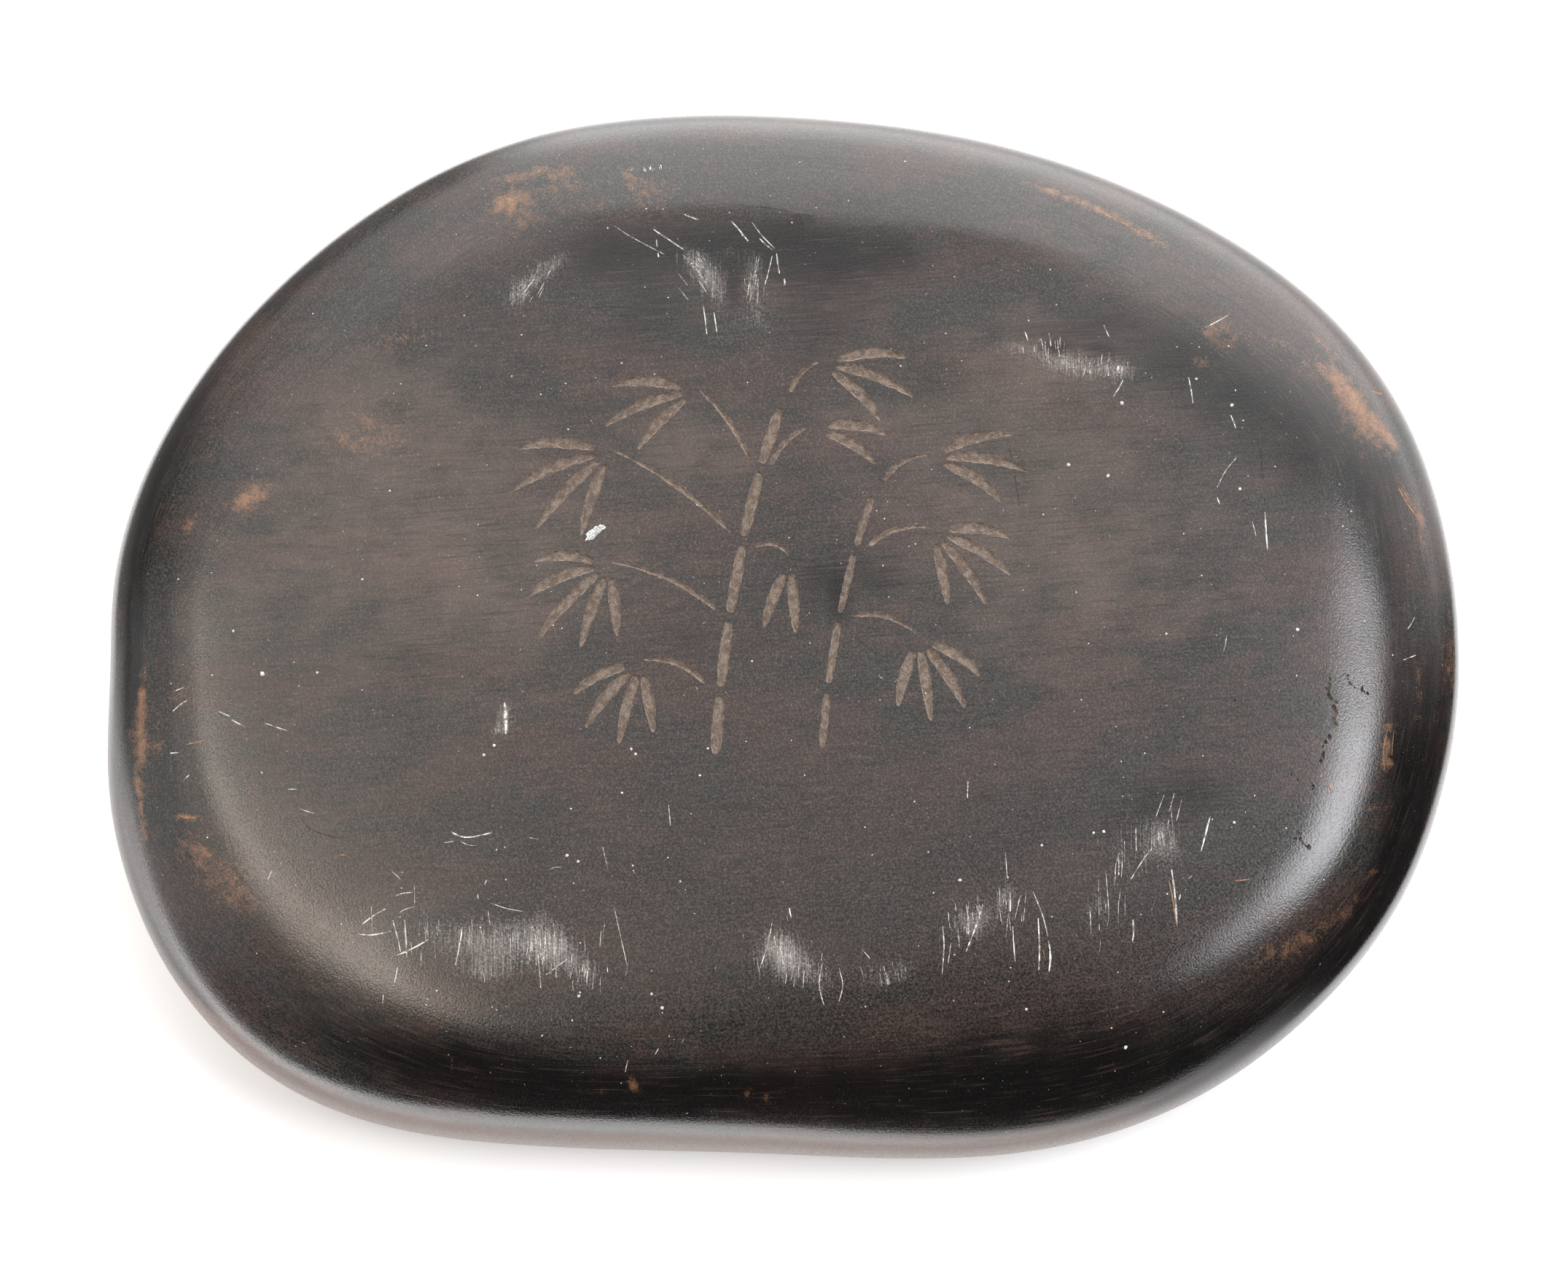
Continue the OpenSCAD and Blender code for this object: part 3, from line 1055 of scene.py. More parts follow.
    def groove(
        self,
        width: float,
        pixels: Sequence[Pixel],
        fill: Fill,
        deep: float = 1.0,
        ragged: float = 0.1,
        skips: float = 0.5,
    ) -> None:
        """Adds a shallow V-groove along a line of pixels, fainter here and there.

        Args:
            width: Its greatest width.
            pixels: The line, from one end to the other.
            fill: What lies on its walls.
            deep: How much deeper than usual it is.
            ragged: How uneven its sides are, as a share of its width.
            skips: How much of its width comes and goes along it.
        """
        stations = evened(pixels, self.spacing * self.skin.camera.px_per_mm)
        found = [self.skin.seen(tuple(p)) for p in stations]
        places, normals = np.array([f[0] for f in found]), np.array([f[1] for f in found])
        sides = sides_of(places, normals)
        draw = Random(self.seed + len(self.marks))
        beat = draw.uniform(0, self.beats)
        rings = []
        for k in range(1, len(places) - 1):
            t = k / (len(places) - 1)
            skip = noise.noise(Vector((beat + k * self.spacing / self.skip_mm, 0, 0)))
            half = width / 2 * math.sin(math.pi * t) ** self.taper
            half *= draw.uniform(1 - ragged, 1 + ragged)
            half *= min(1.0, max(self.faintest, self.usual + skips * skip))
            half += self.least_half
            depth = half * self.depth_share * deep
            lip = half * (1 + self.proud / depth)
            shift = draw.uniform(-0.5, 0.5) * ragged * width
            section = ((-lip + shift, self.proud), (shift, -depth), (lip + shift, self.proud))
            rings.append([places[k] + sides[k] * a + normals[k] * b for a, b in section])
        ends = [places[i] + normals[i] * self.proud for i in (0, -1)]
        self.marks.append(loft(np.array(rings), ends[0], ends[1], fill))

    def pit(self, pixel: Pixel, radius: float, draw: Random) -> None:
        """Adds one ragged pit.

        Args:
            pixel: Its middle.
            radius: Its mean radius.
            draw: The source of its raggedness.
        """
        middle, normal = self.skin.seen(pixel)
        across, along = axes_on(normal)
        thin, long = self.pit_stretch
        ragged = [radius * draw.uniform(*self.pit_ragged) for _ in range(self.pit_corners)]
        rings = []
        for share, level in self.pit_rings:
            ring = []
            for k, reach in enumerate(ragged):
                turn = 2 * math.pi * k / self.pit_corners
                out = across * math.cos(turn) * thin + along * math.sin(turn) * long
                ring.append(middle + out * reach * share + normal * level * self.pit_depth)
            rings.append(ring)
        top = middle + normal * self.pit_depth * self.pit_rings[0][1]
        bottom = middle - normal * self.pit_depth
        self.marks.append(loft(np.array(rings), top, bottom, Fill.PIT))

    def hair(
        self, middle: Pixel, wide: float, tall: float, lean: float, long: float, draw: Random
    ) -> None:
        """Adds one hair-fine scratch at a drawn place in a scuff.

        Args:
            middle: The scuff's middle.
            wide: Half its width in pixels.
            tall: Half its height in pixels.
            lean: How far its scratches lean from upright, in degrees.
            long: Their mean length in millimetres.
            draw: The source of their places.
        """
        reach = long * self.skin.camera.px_per_mm / 2 * draw.uniform(*self.hair_lengths)
        turn = math.radians(lean + draw.gauss(0, self.hair_sway))
        x = middle[0] + wide * draw.gauss(0, self.hair_spread)
        y = middle[1] + tall * draw.gauss(0, self.hair_spread)
        run = (math.sin(turn) * reach, math.cos(turn) * reach)
        line = ((x - run[0], y - run[1]), (x + draw.uniform(-1, 1), y), (x + run[0], y + run[1]))
        width = self.hair_width * draw.uniform(*self.hair_widths)
        self.groove(width, line, Fill.DUST, skips=self.hair_skips)

    def build(self) -> None:
        """Works out every groove and pit."""
        for width, pixels in self.scratches:
            self.groove(width, pixels, Fill.DUST)
        for width, pixels in self.cracks:
            self.groove(width, pixels, Fill.PIT, self.crack_deep)
        for width, pixels in self.scrapes:
            self.groove(width, pixels, Fill.RUST)
        draw = Random(self.seed)
        for middle, wide, tall, count, lean, long in self.combs:
            for _ in range(count):
                self.hair(middle, wide, tall, lean, long, draw)
        form = (Fill.PIT, self.fissure_deep, self.fissure_ragged, self.fissure_skips)
        for width, pixels in self.fissures:
            self.groove(width * self.fissure_share, pixels, *form)
            for station in evened(pixels, self.pit_every * self.skin.camera.px_per_mm)[1:-1]:
                pixel = tuple(at + draw.uniform(-by, by) for at, by in zip(station, self.pit_stray))
                self.pit(pixel, width * draw.uniform(*self.pit_radius), draw)


@dataclass(frozen=True)
class WaxedSlate:
    """Purple-brown slate, honed flat with grit, then waxed and handled for years.

    Its rolled edges are rubbed to a gloss, and the flat face is hazier than they are.
    Its beds lie nearly level across the face, so its tones run in long bands.
    """

    warm: str = "#312421"
    cool: str = "#1d1f1e"
    worn: str = "#66564f"
    # Near black, for handling and for painted shade
    handled_and_shade: str = "#17110f"
    pale: str = "#6e625b"
    dark: str = "#0b0a0a"
    # Bare slate, also the painted reflection of the floor on the lower side
    bare_and_reflection: str = "#6c554c"
    tan: str = "#8b6548"
    dust: str = "#a9a4a0"
    ink: str = "#0c0c0d"
    ior: float = 1.52
    bedding_lean: float = 4.0
    mottle_mm: tuple[float, float, float] = (26.0, 12.0, 20.0)
    band_mm: tuple[float, float, float] = (9.0, 2.4, 8.0)
    cloud_mm: float = 7.0
    fray_mm: float = 1.6
    grain_mm: float = 0.32
    streak_mm: tuple[float, float] = (7.0, 0.35)
    girdle_share: float = 0.7
    brushed_mm: tuple[float, float] = (0.22, 5.0)
    mote_mm: float = 0.42
    face_rough: float = 0.24
    edge_rough: float = 0.13
    polish: float = 0.06
    bump_mm: float = 0.026
    face_bump: float = 0.7
    edge_bump: float = 1.0
    streak_bump: float = 0.4

    def places(self, tree: NodeTree) -> Sockets:
        """Makes the places in millimetres at which the patterns are read.

        Args:
            tree: The material's node tree.

        Returns:
            The plain place, that place turned along the beds and turned askew, and
            the place by how far round the stone and down its side it lies.
        """
        place = add(tree, "TexCoord", output="Object")
        mm = add(tree, "VectorMath", {"operation": "SCALE"}, {"Vector": place, "Scale": 1 / MM})
        lean = math.radians(-self.bedding_lean)
        bed = add(tree, "VectorRotate", {"rotation_type": "Z_AXIS"}, {"Vector": mm, "Angle": lean})
        askew = add(tree, "VectorRotate", {}, {"Vector": mm, **ASKEW})
        around = add(tree, "Attribute", {"attribute_name": "around"}, output="Vector")
        return {"plain": mm, "bed": bed, "askew": askew, "around": around}

    def patterns(self, tree: NodeTree, at: Sockets, side: NodeSocket) -> Sockets:
        """Makes the noises, each stretched to its size.

        Args:
            tree: The material's node tree.
            at: The places at which they are read.
            side: The mask of the stone's side.

        Returns:
            The patterns.
        """
        run, line = self.streak_mm
        thin, tall = self.brushed_mm
        pattern = {}
        for name, place, size, detail in (
            ("mottle", "bed", self.mottle_mm, 4.0),
            ("band", "bed", self.band_mm, 3.0),
            ("cloud", "askew", (self.cloud_mm,) * 3, 4.0),
            ("fray", "askew", (self.fray_mm,) * 3, 5.0),
            ("grain", "askew", (self.grain_mm,) * 3, 3.0),
            ("fine", "askew", (self.grain_mm / 2,) * 3, 1.0),
            ("mote", "askew", (self.mote_mm,) * 3, 1.0),
            ("level", "bed", (run, line, run), 2.0),
            ("girdle", "around", (run, run, line * self.girdle_share), 3.0),
            ("brushed", "plain", (thin, tall, tall), 3.0),
        ):
            stretched = add(tree, "VectorMath", {"operation": "DIVIDE"}, {0: at[place], 1: size})
            inputs = {"Vector": stretched, "Scale": 1.0, "Detail": detail}
            pattern[name] = add(tree, "TexNoise", {}, inputs, "Fac")
        ends = {"Factor_Float": side, "A_Float": pattern["level"], "B_Float": pattern["girdle"]}
        pattern["streak"] = add(tree, "Mix", {"data_type": "FLOAT"}, ends)
        return pattern

    def broken(self, tree: NodeTree, mask: Sockets, pattern: Sockets) -> Sockets:
        """Breaks up the tone and each mask by patterns, less their mean of a half.

        Args:
            tree: The material's node tree.
            mask: The masks.
            pattern: The patterns.

        Returns:
            The tone and the masks, broken up.
        """
        found: Sockets = {}
        for name, start, terms in (
            ("tone", 0.5, (("mottle", 0.65), ("band", 0.25), ("fray", 0.25))),
            ("worn", mask["worn"], (("cloud", 1.0), ("band", 0.6))),
            ("handled_and_shade", mask["handled_and_shade"], (("cloud", 1.0), ("band", 0.6))),
            ("stain_and_shade", mask["stain_and_shade"], (("cloud", 0.5), ("streak", 0.5), ("grain", 0.4))),
            ("rub", mask["rub"], (("fray", 1.2), ("grain", 0.9))),
            ("haze", mask["scuff"], (("brushed", 1.3), ("grain", 1.0), ("cloud", 0.6))),
            ("speck", mask["scuff"], (("brushed", 1.8), ("grain", 1.4), ("fine", 1.6))),
            ("ink", mask["ink"], (("cloud", 0.4),)),
            ("low", mask["low"], (("girdle", 0.8), ("cloud", 0.7))),
        ):
            total: Any = start
            for other, weight in terms:
                shifted = add(tree, "Math", {"operation": "SUBTRACT"}, {0: pattern[other], 1: 0.5})
                inputs = {0: shifted, 1: weight, 2: total}
                total = add(tree, "Math", {"operation": "MULTIPLY_ADD"}, inputs)
            found[name] = total
        return found

    def coats(self, tree: NodeTree, source: Sockets) -> tuple[NodeSocket, Sockets]:
        """Lays the coats of colour over the cool slate, one over the other.

        Args:
            tree: The material's node tree.
            source: What each coat follows.

        Returns:
            The colour, and how much of it each coat covers.
        """
        share = {}
        colour: Any = linear(self.cool)
        # Each coat with what it follows, where that starts it and where it is full,
        # the most that it covers and its colour
        for name, follows, low, high, most, coat in (
            ("warm", "tone", 0.43, 0.58, 1.0, self.warm),
            ("worn", "worn", 0.05, 1.1, 0.55, self.worn),
            # Darkened by hands, and painted shade along the back crease and on the front slope
            ("handled_and_shade", "handled_and_shade", 0.1, 1.0, 0.75, self.handled_and_shade),
            # The lower side: bare slate, and painted reflection of the bright floor
            ("bare_and_reflection", "low", 0.3, 0.8, 0.75, self.bare_and_reflection),
            ("grain", "grain", 0.4, 0.72, 0.32, self.pale),
            ("fine", "fine", 0.52, 0.25, 0.6, self.dark),
            # Black stains, and painted shade of the dark bands on the rolls
            ("stain_and_shade", "stain_and_shade", 0.15, 0.95, 0.92, self.dark),
            ("thread", "streak", 0.45, 0.2, 0.2, self.bare_and_reflection),
            ("streak", "streak", 0.5, 0.76, 0.45, self.dark),
            ("rub", "rub", 0.2, 1.3, 0.85, self.tan),
            ("haze", "haze", 0.25, 1.45, 0.56, self.dust),
            ("speck", "speck", 0.95, 1.5, 0.9, self.dust),
            ("mote", "mote", 0.78, 0.82, 0.8, self.dust),
            ("ink", "ink", 0.45, 0.7, 0.95, self.ink),
        ):
            inputs = {"Value": source[follows], "From Min": low, "From Max": high, "To Max": most}
            share[name] = add(tree, "MapRange", {"interpolation_type": "SMOOTHSTEP"}, inputs)
            inputs = {"Factor_Float": share[name], "A_Color": colour, "B_Color": linear(coat)}
            colour = add(tree, "Mix", {"data_type": "RGBA"}, inputs)
        return colour, share

    def build(self) -> Material:
        """Makes the material from the masks that the stone carries.

        Returns:
            The material.
        """
        material, tree = new_material("waxed_slate")
        at = self.places(tree)
        mask = {}
        for name in ("side", "low", "worn", "handled_and_shade", "rub", "stain_and_shade", "scuff", "ink"):
            mask[name] = add(tree, "Attribute", {"attribute_name": name}, output="Fac")
        pattern = self.patterns(tree, at, mask["side"])
        broken = self.broken(tree, mask, pattern)
        colour, share = self.coats(tree, {**pattern, **broken})
        inputs = {"Value": mask["side"], "To Min": self.face_rough, "To Max": self.edge_rough}
        rough = add(tree, "MapRange", {}, inputs)
        for source, weight in (
            (broken["tone"], 0.12),
            (share["grain"], 0.14),
            (share["fine"], 0.5),
            (share["rub"], 0.2),
            (share["haze"], 0.25),
            (share["bare_and_reflection"], 0.16),
            (share["stain_and_shade"], -0.09),
        ):
            rough = add(tree, "Math", {"operation": "MULTIPLY_ADD"}, {0: source, 1: weight, 2: rough})
        rough = add(tree, "Math", {"operation": "SUBTRACT"}, {0: rough, 1: self.polish})
        inputs = {0: pattern["streak"], 1: self.streak_bump, 2: pattern["grain"]}
        height = add(tree, "Math", {"operation": "MULTIPLY_ADD"}, inputs)
        inputs = {"Value": mask["side"], "To Min": self.face_bump, "To Max": self.edge_bump}
        relief = add(tree, "MapRange", {}, inputs)
        inputs = {"Strength": relief, "Distance": self.bump_mm * MM, "Height": height}
        bump = add(tree, "Bump", {}, inputs, "Normal")
        inputs = {"Base Color": colour, "Roughness": rough, "IOR": self.ior, "Normal": bump}
        add_output(tree, add(tree, "BsdfPrincipled", {}, inputs, "BSDF"))
        return material


@dataclass(frozen=True)
class PowderyMineral:
    """A dry mineral surface of two colours, matte, with grains that catch the light."""

    name: str
    first: str
    second: str
    grain_mm: float
    roughness: float = 0.85
    ior: float = 1.5
    bump_mm: float = 0.03
    coarse_times: float = 5.0
    blend: tuple[float, float] = (0.85, 1.2)

    def build(self) -> Material:
        """Makes the material.

        Returns:
            The material.
        """
        material, tree = new_material(self.name)
        place = add(tree, "TexCoord", output="Object")
        askew = add(tree, "VectorRotate", {}, {"Vector": place, **ASKEW})
        scale = 1 / (self.grain_mm * MM)
        grain = add(tree, "TexNoise", {}, {"Vector": askew, "Scale": scale, "Detail": 4.0}, "Fac")
        inputs = {"Vector": askew, "Scale": scale / self.coarse_times, "Detail": 2.0}
        coarse = add(tree, "TexNoise", {}, inputs, "Fac")
        both = add(tree, "Math", {"operation": "ADD"}, {0: grain, 1: coarse})
        inputs = {"Value": both, "From Min": self.blend[0], "From Max": self.blend[1]}
        share = add(tree, "MapRange", {"interpolation_type": "SMOOTHSTEP"}, inputs)
        inputs = {"Factor_Float": share, "A_Color": linear(self.first), "B_Color": linear(self.second)}
        colour = add(tree, "Mix", {"data_type": "RGBA"}, inputs)
        inputs = {"Strength": 1.0, "Distance": self.bump_mm * MM, "Height": grain}
        bump = add(tree, "Bump", {}, inputs, "Normal")
        inputs = {"Base Color": colour, "Roughness": self.roughness, "IOR": self.ior, "Normal": bump}
        add_output(tree, add(tree, "BsdfPrincipled", {}, inputs, "BSDF"))
        return material


# Walls of the engraving: slate broken by the chisel, pale with its own powder
CUT_SLATE = PowderyMineral("chiselled_slate", "#55483f", "#7f7066", 0.3)
# Scratches: slate crushed to white powder
CRUSHED_SLATE = PowderyMineral("crushed_slate", "#6f6963", "#ded9d3", 0.22)
# Fissures and hair cracks: bare slate, dark with wax and dirt
DIRTY_SLATE = PowderyMineral("dirty_fissure", "#25211d", "#574c42", 0.3)
# Scrapes through the wax into the oxidised skin of the slate
RUST_SLATE = PowderyMineral("oxidised_slate", "#6f523d", "#9a775a", 0.3)
# Dried mineral pigment brushed into the cuts, cracked and worn
DRIED_OCHRE = PowderyMineral("dried_ochre", "#564940", "#786a5f", 0.22, bump_mm=0.08)
# A label's remnant: paper fibres with their filler
LABEL_PAPER = PowderyMineral("label_paper", "#868a88", "#d0d2d0", 0.2, roughness=0.9)
# Grains of chalk and wall dust
CHALK = PowderyMineral("chalk_dust", "#b3aea8", "#d6d2cd", 0.2)
# What is seen where a cutter has left its fill, and on the skin
FINISHES = {
    Fill.SKIN: WaxedSlate(),
    Fill.CUT: CUT_SLATE,
    Fill.DUST: CRUSHED_SLATE,
    Fill.PIT: DIRTY_SLATE,
    Fill.RUST: RUST_SLATE,
}


@dataclass
class InkStone:
    """The stone itself: the skin with its cuts, marks and finish."""

    skin: Skin
    engraving: Engraving
    wear: Wear
    cutter_clear: float = 0.05
    sharp_angle: float = 32.0
    polish_width: float = 16.0
    # The bare foot of the side, also a painted reflection of the bright floor: how
    # high it comes, and how high at the front, which lies before front_y and left of front_x
    low_level: float = 20.0
    low_front_level: float = 28.0
    low_blend: float = 5.0
    front_y: float = -40.0
    front_x: float = 105.0
    front_blend: float = 30.0
    ink_blend: float = 3.0
    # Wax rubbed through to the oxidised skin
    rubs: tuple[Spot, ...] = (
        Spot((699, 277), 2.6, 1.9, 20, 1.0), Spot((672, 289), 1.4, 0.8, 10, 0.6),
        Spot((718, 240), 6.5, 1.5, 12, 0.5), Spot((773, 241), 2.6, 2.0, -40, 0.5),
        Spot((745, 262), 9, 4, 10, 0.35), Spot((718, 305), 2.6, 2.6, -30, 0.5),
        Spot((868, 246), 1.4, 2.6, 20, 0.55), Spot((898, 262), 6, 3.4, -20, 0.38),
        Spot((819, 277), 6, 3, 0, 0.25), Spot((344, 683), 3.6, 1.9, 35, 1.0),
        Spot((258, 722), 2.0, 1.4, 60, 0.65), Spot((505, 600), 9, 5, 20, 0.46),
        Spot((548, 462), 7, 2.4, 10, 0.42), Spot((1440, 262), 5, 0.9, -20, 0.7),
        Spot((1500, 285), 6, 1.1, -22, 0.7), Spot((1570, 320), 5, 1.2, -30, 0.7),
        Spot((1665, 455), 3.0, 2.0, -25, 0.6), Spot((1695, 460), 5, 3.4, -25, 0.3),
        Spot((1648, 499), 1.3, 0.8, -30, 1.0), Spot((1752, 467), 2.4, 1.3, -40, 0.45),
        Spot((1817, 472), 3.4, 1.5, -50, 0.5), Spot((1806, 505), 3.2, 1.6, -10, 0.55),
        Spot((1842, 529), 4.2, 2.1, -52, 0.8), Spot((1860, 556), 5.0, 2.2, -56, 0.95),
        Spot((1888, 584), 4.6, 1.9, -50, 0.75), Spot((1909, 603), 2.6, 1.2, -58, 0.7),
        Spot((1870, 600), 6, 4, -50, 0.35), Spot((1930, 680), 3.0, 0.7, -55, 0.75),
        Spot((1948, 705), 3.2, 0.9, -75, 0.75), Spot((1950, 738), 3.4, 0.8, -88, 0.65),
        Spot((1860, 719), 2, 3, 0, 0.3), Spot((1990, 905), 8, 3, 90, 0.42),
        Spot((1945, 918), 0.7, 2.0, 0, 0.55), Spot((1947, 950), 0.6, 1.8, 0, 0.5),
        Spot((1942, 982), 1.2, 1.0, 0, 0.45), Spot((1908, 1000), 1.6, 0.7, -35, 0.8),
        Spot((1903, 1026), 1.0, 1.9, 0, 0.85), Spot((1903, 1048), 1.5, 1.2, 30, 0.8),
        Spot((1884, 1108), 1.4, 0.8, 0, 0.4), Spot((1906, 1105), 1.2, 1.0, 0, 0.4),
        Spot((1804, 1013), 0.9, 2.0, 0, 0.45), Spot((1822, 1082), 0.8, 3.0, 15, 0.4),
        Spot((1857, 1240), 1.2, 3.0, -25, 0.35), Spot((1832, 1261), 3.4, 1.2, 40, 0.42),
        Spot((1801, 1283), 4.6, 1.2, 32, 0.42), Spot((1772, 1298), 5.0, 1.5, 25, 0.42),
        Spot((1728, 1312), 6.0, 2.0, 15, 0.3), Spot((1884, 1200), 2.0, 0.8, 20, 0.4),
        Spot((197, 925), 2.2, 0.8, 85, 0.6), Spot((194, 962), 2.6, 1.2, 88, 0.9),
        Spot((193, 990), 3.4, 1.2, 90, 0.8), Spot((194, 1030), 4.0, 1.3, 92, 0.8),
        Spot((191, 1080), 3.6, 1.2, 92, 0.7), Spot((194, 1120), 3.6, 1.0, 95, 0.6),
        Spot((198, 1150), 2.4, 0.9, 100, 0.4), Spot((178, 1016), 3.2, 1.0, 95, 0.5),
        Spot((216, 990), 6, 1.4, 90, 0.3), Spot((219, 1025), 1.6, 1.6, 0, 0.35),
        Spot((242, 962), 3.6, 2.0, 20, 0.3), Spot((257, 1122), 2.8, 0.8, -5, 0.75),
        Spot((268, 1166), 3.2, 2.2, -30, 0.6), Spot((300, 1203), 7, 4, -45, 0.4),
        Spot((322, 1222), 5, 3.4, -45, 0.3), Spot((871, 1489), 1.6, 0.9, 85, 0.8),
        Spot((825, 1498), 0.6, 0.9, 0, 0.5), Spot((1000, 1498), 0.5, 1.0, 10, 0.7),
        Spot((1022, 1500), 1.4, 0.6, 60, 0.5), Spot((1055, 1503), 1.4, 0.8, 70, 0.6),
    )
    # Ink and wax gone black, and painted shade: the black bands along the front, right and left rolls and
    # below the back crease
    stains_and_shade: tuple[Spot, ...] = (
        Spot((1000, 340), 24, 4.5, 0, 0.85), Spot((1130, 350), 17, 5.0, -3, 0.85),
        Spot((830, 350), 9, 5, 10, 0.6), Spot((900, 430), 10, 8, 0, 0.55),
        Spot((1006, 385), 1.1, 6, 0, 0.8), Spot((1110, 450), 6, 11, 0, 0.45),
        Spot((1450, 478), 3.4, 1.2, 0, 0.9), Spot((1508, 480), 3.6, 1.2, -8, 0.9),
        Spot((1455, 455), 10, 2.4, 0, 0.5), Spot((1510, 435), 8, 4, 0, 0.4),
        Spot((1160, 420), 8, 7, 0, 0.35), Spot((1610, 490), 10, 8, -30, 0.55),
        Spot((1700, 540), 12, 9, -50, 0.6), Spot((1800, 610), 9, 14, 20, 0.65),
        Spot((1870, 690), 5, 14, 12, 0.6), Spot((1900, 800), 4, 12, 0, 0.5),
        Spot((1905, 640), 4, 7, 25, 0.6), Spot((1150, 822), 1.4, 5, 0, 0.75),
        Spot((1128, 800), 7, 8, 0, 0.4), Spot((1200, 790), 8, 5, 0, 0.45),
        Spot((1615, 1095), 9, 6, 0, 0.55), Spot((1550, 1140), 9, 7, 0, 0.3),
        Spot((188, 780), 30, 2.6, 88, 0.95), Spot((182, 930), 18, 1.8, 88, 0.9),
        Spot((235, 620), 18, 5, 70, 0.8), Spot((305, 480), 20, 4, 50, 0.6),
        Spot((400, 390), 14, 4, 38, 0.45), Spot((1000, 1500), 62, 6, 0, 0.97),
        Spot((650, 1470), 26, 5.5, -14, 0.9), Spot((450, 1400), 18, 5, -38, 0.3),
        Spot((1450, 1490), 44, 8, 6, 0.97), Spot((1500, 1410), 32, 6, 12, 0.4),
        Spot((1740, 1425), 24, 7, 32, 0.95), Spot((1860, 1310), 28, 8, 50, 0.97),
        Spot((1925, 1150), 28, 4.5, 68, 0.95), Spot((1955, 1010), 20, 3.4, 82, 0.8),
        Spot((1922, 1000), 18, 4.2, 85, 0.8), Spot((560, 905), 14, 6, 0, 0.35),
        Spot((960, 880), 12, 5, 0, 0.3), Spot((700, 460), 9, 5, 0, 0.25),
    )
    # Where the waxed face is palest
    worn: tuple[Spot, ...] = (
        Spot((570, 720), 34, 26, 0, 0.75), Spot((500, 560), 14, 10, 0, 0.45),
        Spot((650, 800), 16, 10, 0, 0.45), Spot((1440, 700), 28, 24, 0, 0.7),
        Spot((1420, 490), 12, 9, 0, 0.6), Spot((1500, 800), 22, 12, 0, 0.35),
        Spot((950, 610), 13, 9, 0, 0.6), Spot((1200, 590), 16, 8, 0, 0.4),
        Spot((1790, 950), 8, 16, 0, 0.25), Spot((480, 1350), 12, 18, 50, 0.5),
        Spot((640, 330), 12, 6, 20, 0.4), Spot((1560, 380), 18, 7, -30, 0.35),
    )
    # Where hands have darkened it, and painted shade: the dark line along the back crease and the dark
    # front slope above the black band
    handled_and_shade: tuple[Spot, ...] = (
        Spot((1100, 1290), 84, 22, 0, 0.65), Spot((1450, 1360), 34, 12, 10, 0.7),
        Spot((1150, 1120), 56, 16, 0, 0.5), Spot((1450, 1260), 34, 9, 0, 0.55),
        Spot((880, 1230), 28, 8, 0, 0.4), Spot((1000, 290), 32, 3.4, 0, 0.6),
        Spot((640, 370), 9, 5, 30, 0.35), Spot((1740, 1010), 6, 12, 0, 0.4),
        Spot((1100, 560), 7, 22, 0, 0.4), Spot((1120, 790), 16, 12, 0, 0.5),
        Spot((930, 880), 20, 8, 0, 0.4), Spot((720, 430), 14, 12, 0, 0.35),
        Spot((800, 360), 14, 8, 0, 0.45), Spot((1760, 520), 16, 18, 0, 0.4),
        Spot((250, 1300), 16, 30, 30, 0.25), Spot((320, 1220), 10, 30, 35, 0.3),
    )
    # White powder of slate where hard tables have crushed it
    scuffs: tuple[Spot, ...] = (
        Spot((730, 388), 5.0, 1.7, 44, 0.75), Spot((762, 360), 3.4, 1.3, 38, 0.45),
        Spot((708, 400), 2.0, 3.2, 10, 0.45), Spot((954, 360), 3.2, 2.2, -40, 0.8),
        Spot((975, 385), 3.2, 2.6, -60, 0.7), Spot((986, 412), 1.4, 3.0, 10, 0.4),
        Spot((1034, 384), 1.9, 5.4, 6, 0.65), Spot((1000, 346), 2.0, 1.1, 0, 0.5),
        Spot((1020, 436), 5.0, 1.6, 0, 0.35), Spot((1400, 478), 4.2, 1.6, 0, 0.55),
        Spot((1460, 497), 4.6, 2.2, 0, 0.85), Spot((1495, 507), 3.0, 1.4, 0, 0.6),
        Spot((1532, 506), 3.4, 1.8, -8, 0.8), Spot((581, 1274), 3.0, 3.0, 0, 0.5),
        Spot((617, 1285), 3.4, 3.4, 0, 0.45), Spot((660, 1292), 3.2, 3.4, 0, 0.6),
        Spot((692, 1300), 4.0, 4.6, 0, 0.7), Spot((760, 1302), 4.2, 3.8, -5, 0.95),
        Spot((735, 1290), 3.0, 4.4, 0, 0.65), Spot((800, 1330), 3.0, 3.0, 0, 0.55),
        Spot((660, 1332), 3.4, 2.0, 0, 0.5), Spot((1066, 1304), 3.4, 3.6, 0, 0.85),
        Spot((1092, 1322), 3.6, 3.2, 0, 0.75), Spot((1128, 1340), 2.6, 3.0, 0, 0.5),
        Spot((1208, 1340), 3.6, 2.6, 0, 0.55), Spot((1240, 1330), 2.2, 2.2, 0, 0.4),
        Spot((1325, 1268), 3.0, 2.6, 10, 0.65), Spot((1350, 1256), 3.0, 2.8, 10, 0.6),
        Spot((1382, 1228), 1.8, 3.4, 0, 0.6), Spot((1591, 1142), 3.4, 3.4, 0, 0.68),
        Spot((1606, 1172), 3.0, 3.2, 0, 0.45), Spot((1540, 1170), 4.4, 6.0, 0, 0.3),
        Spot((1510, 1240), 3.2, 5.0, 0, 0.3), Spot((693, 985), 1.2, 2.8, 0, 0.85),
        Spot((682, 1003), 1.6, 1.1, 0, 0.8),
    )

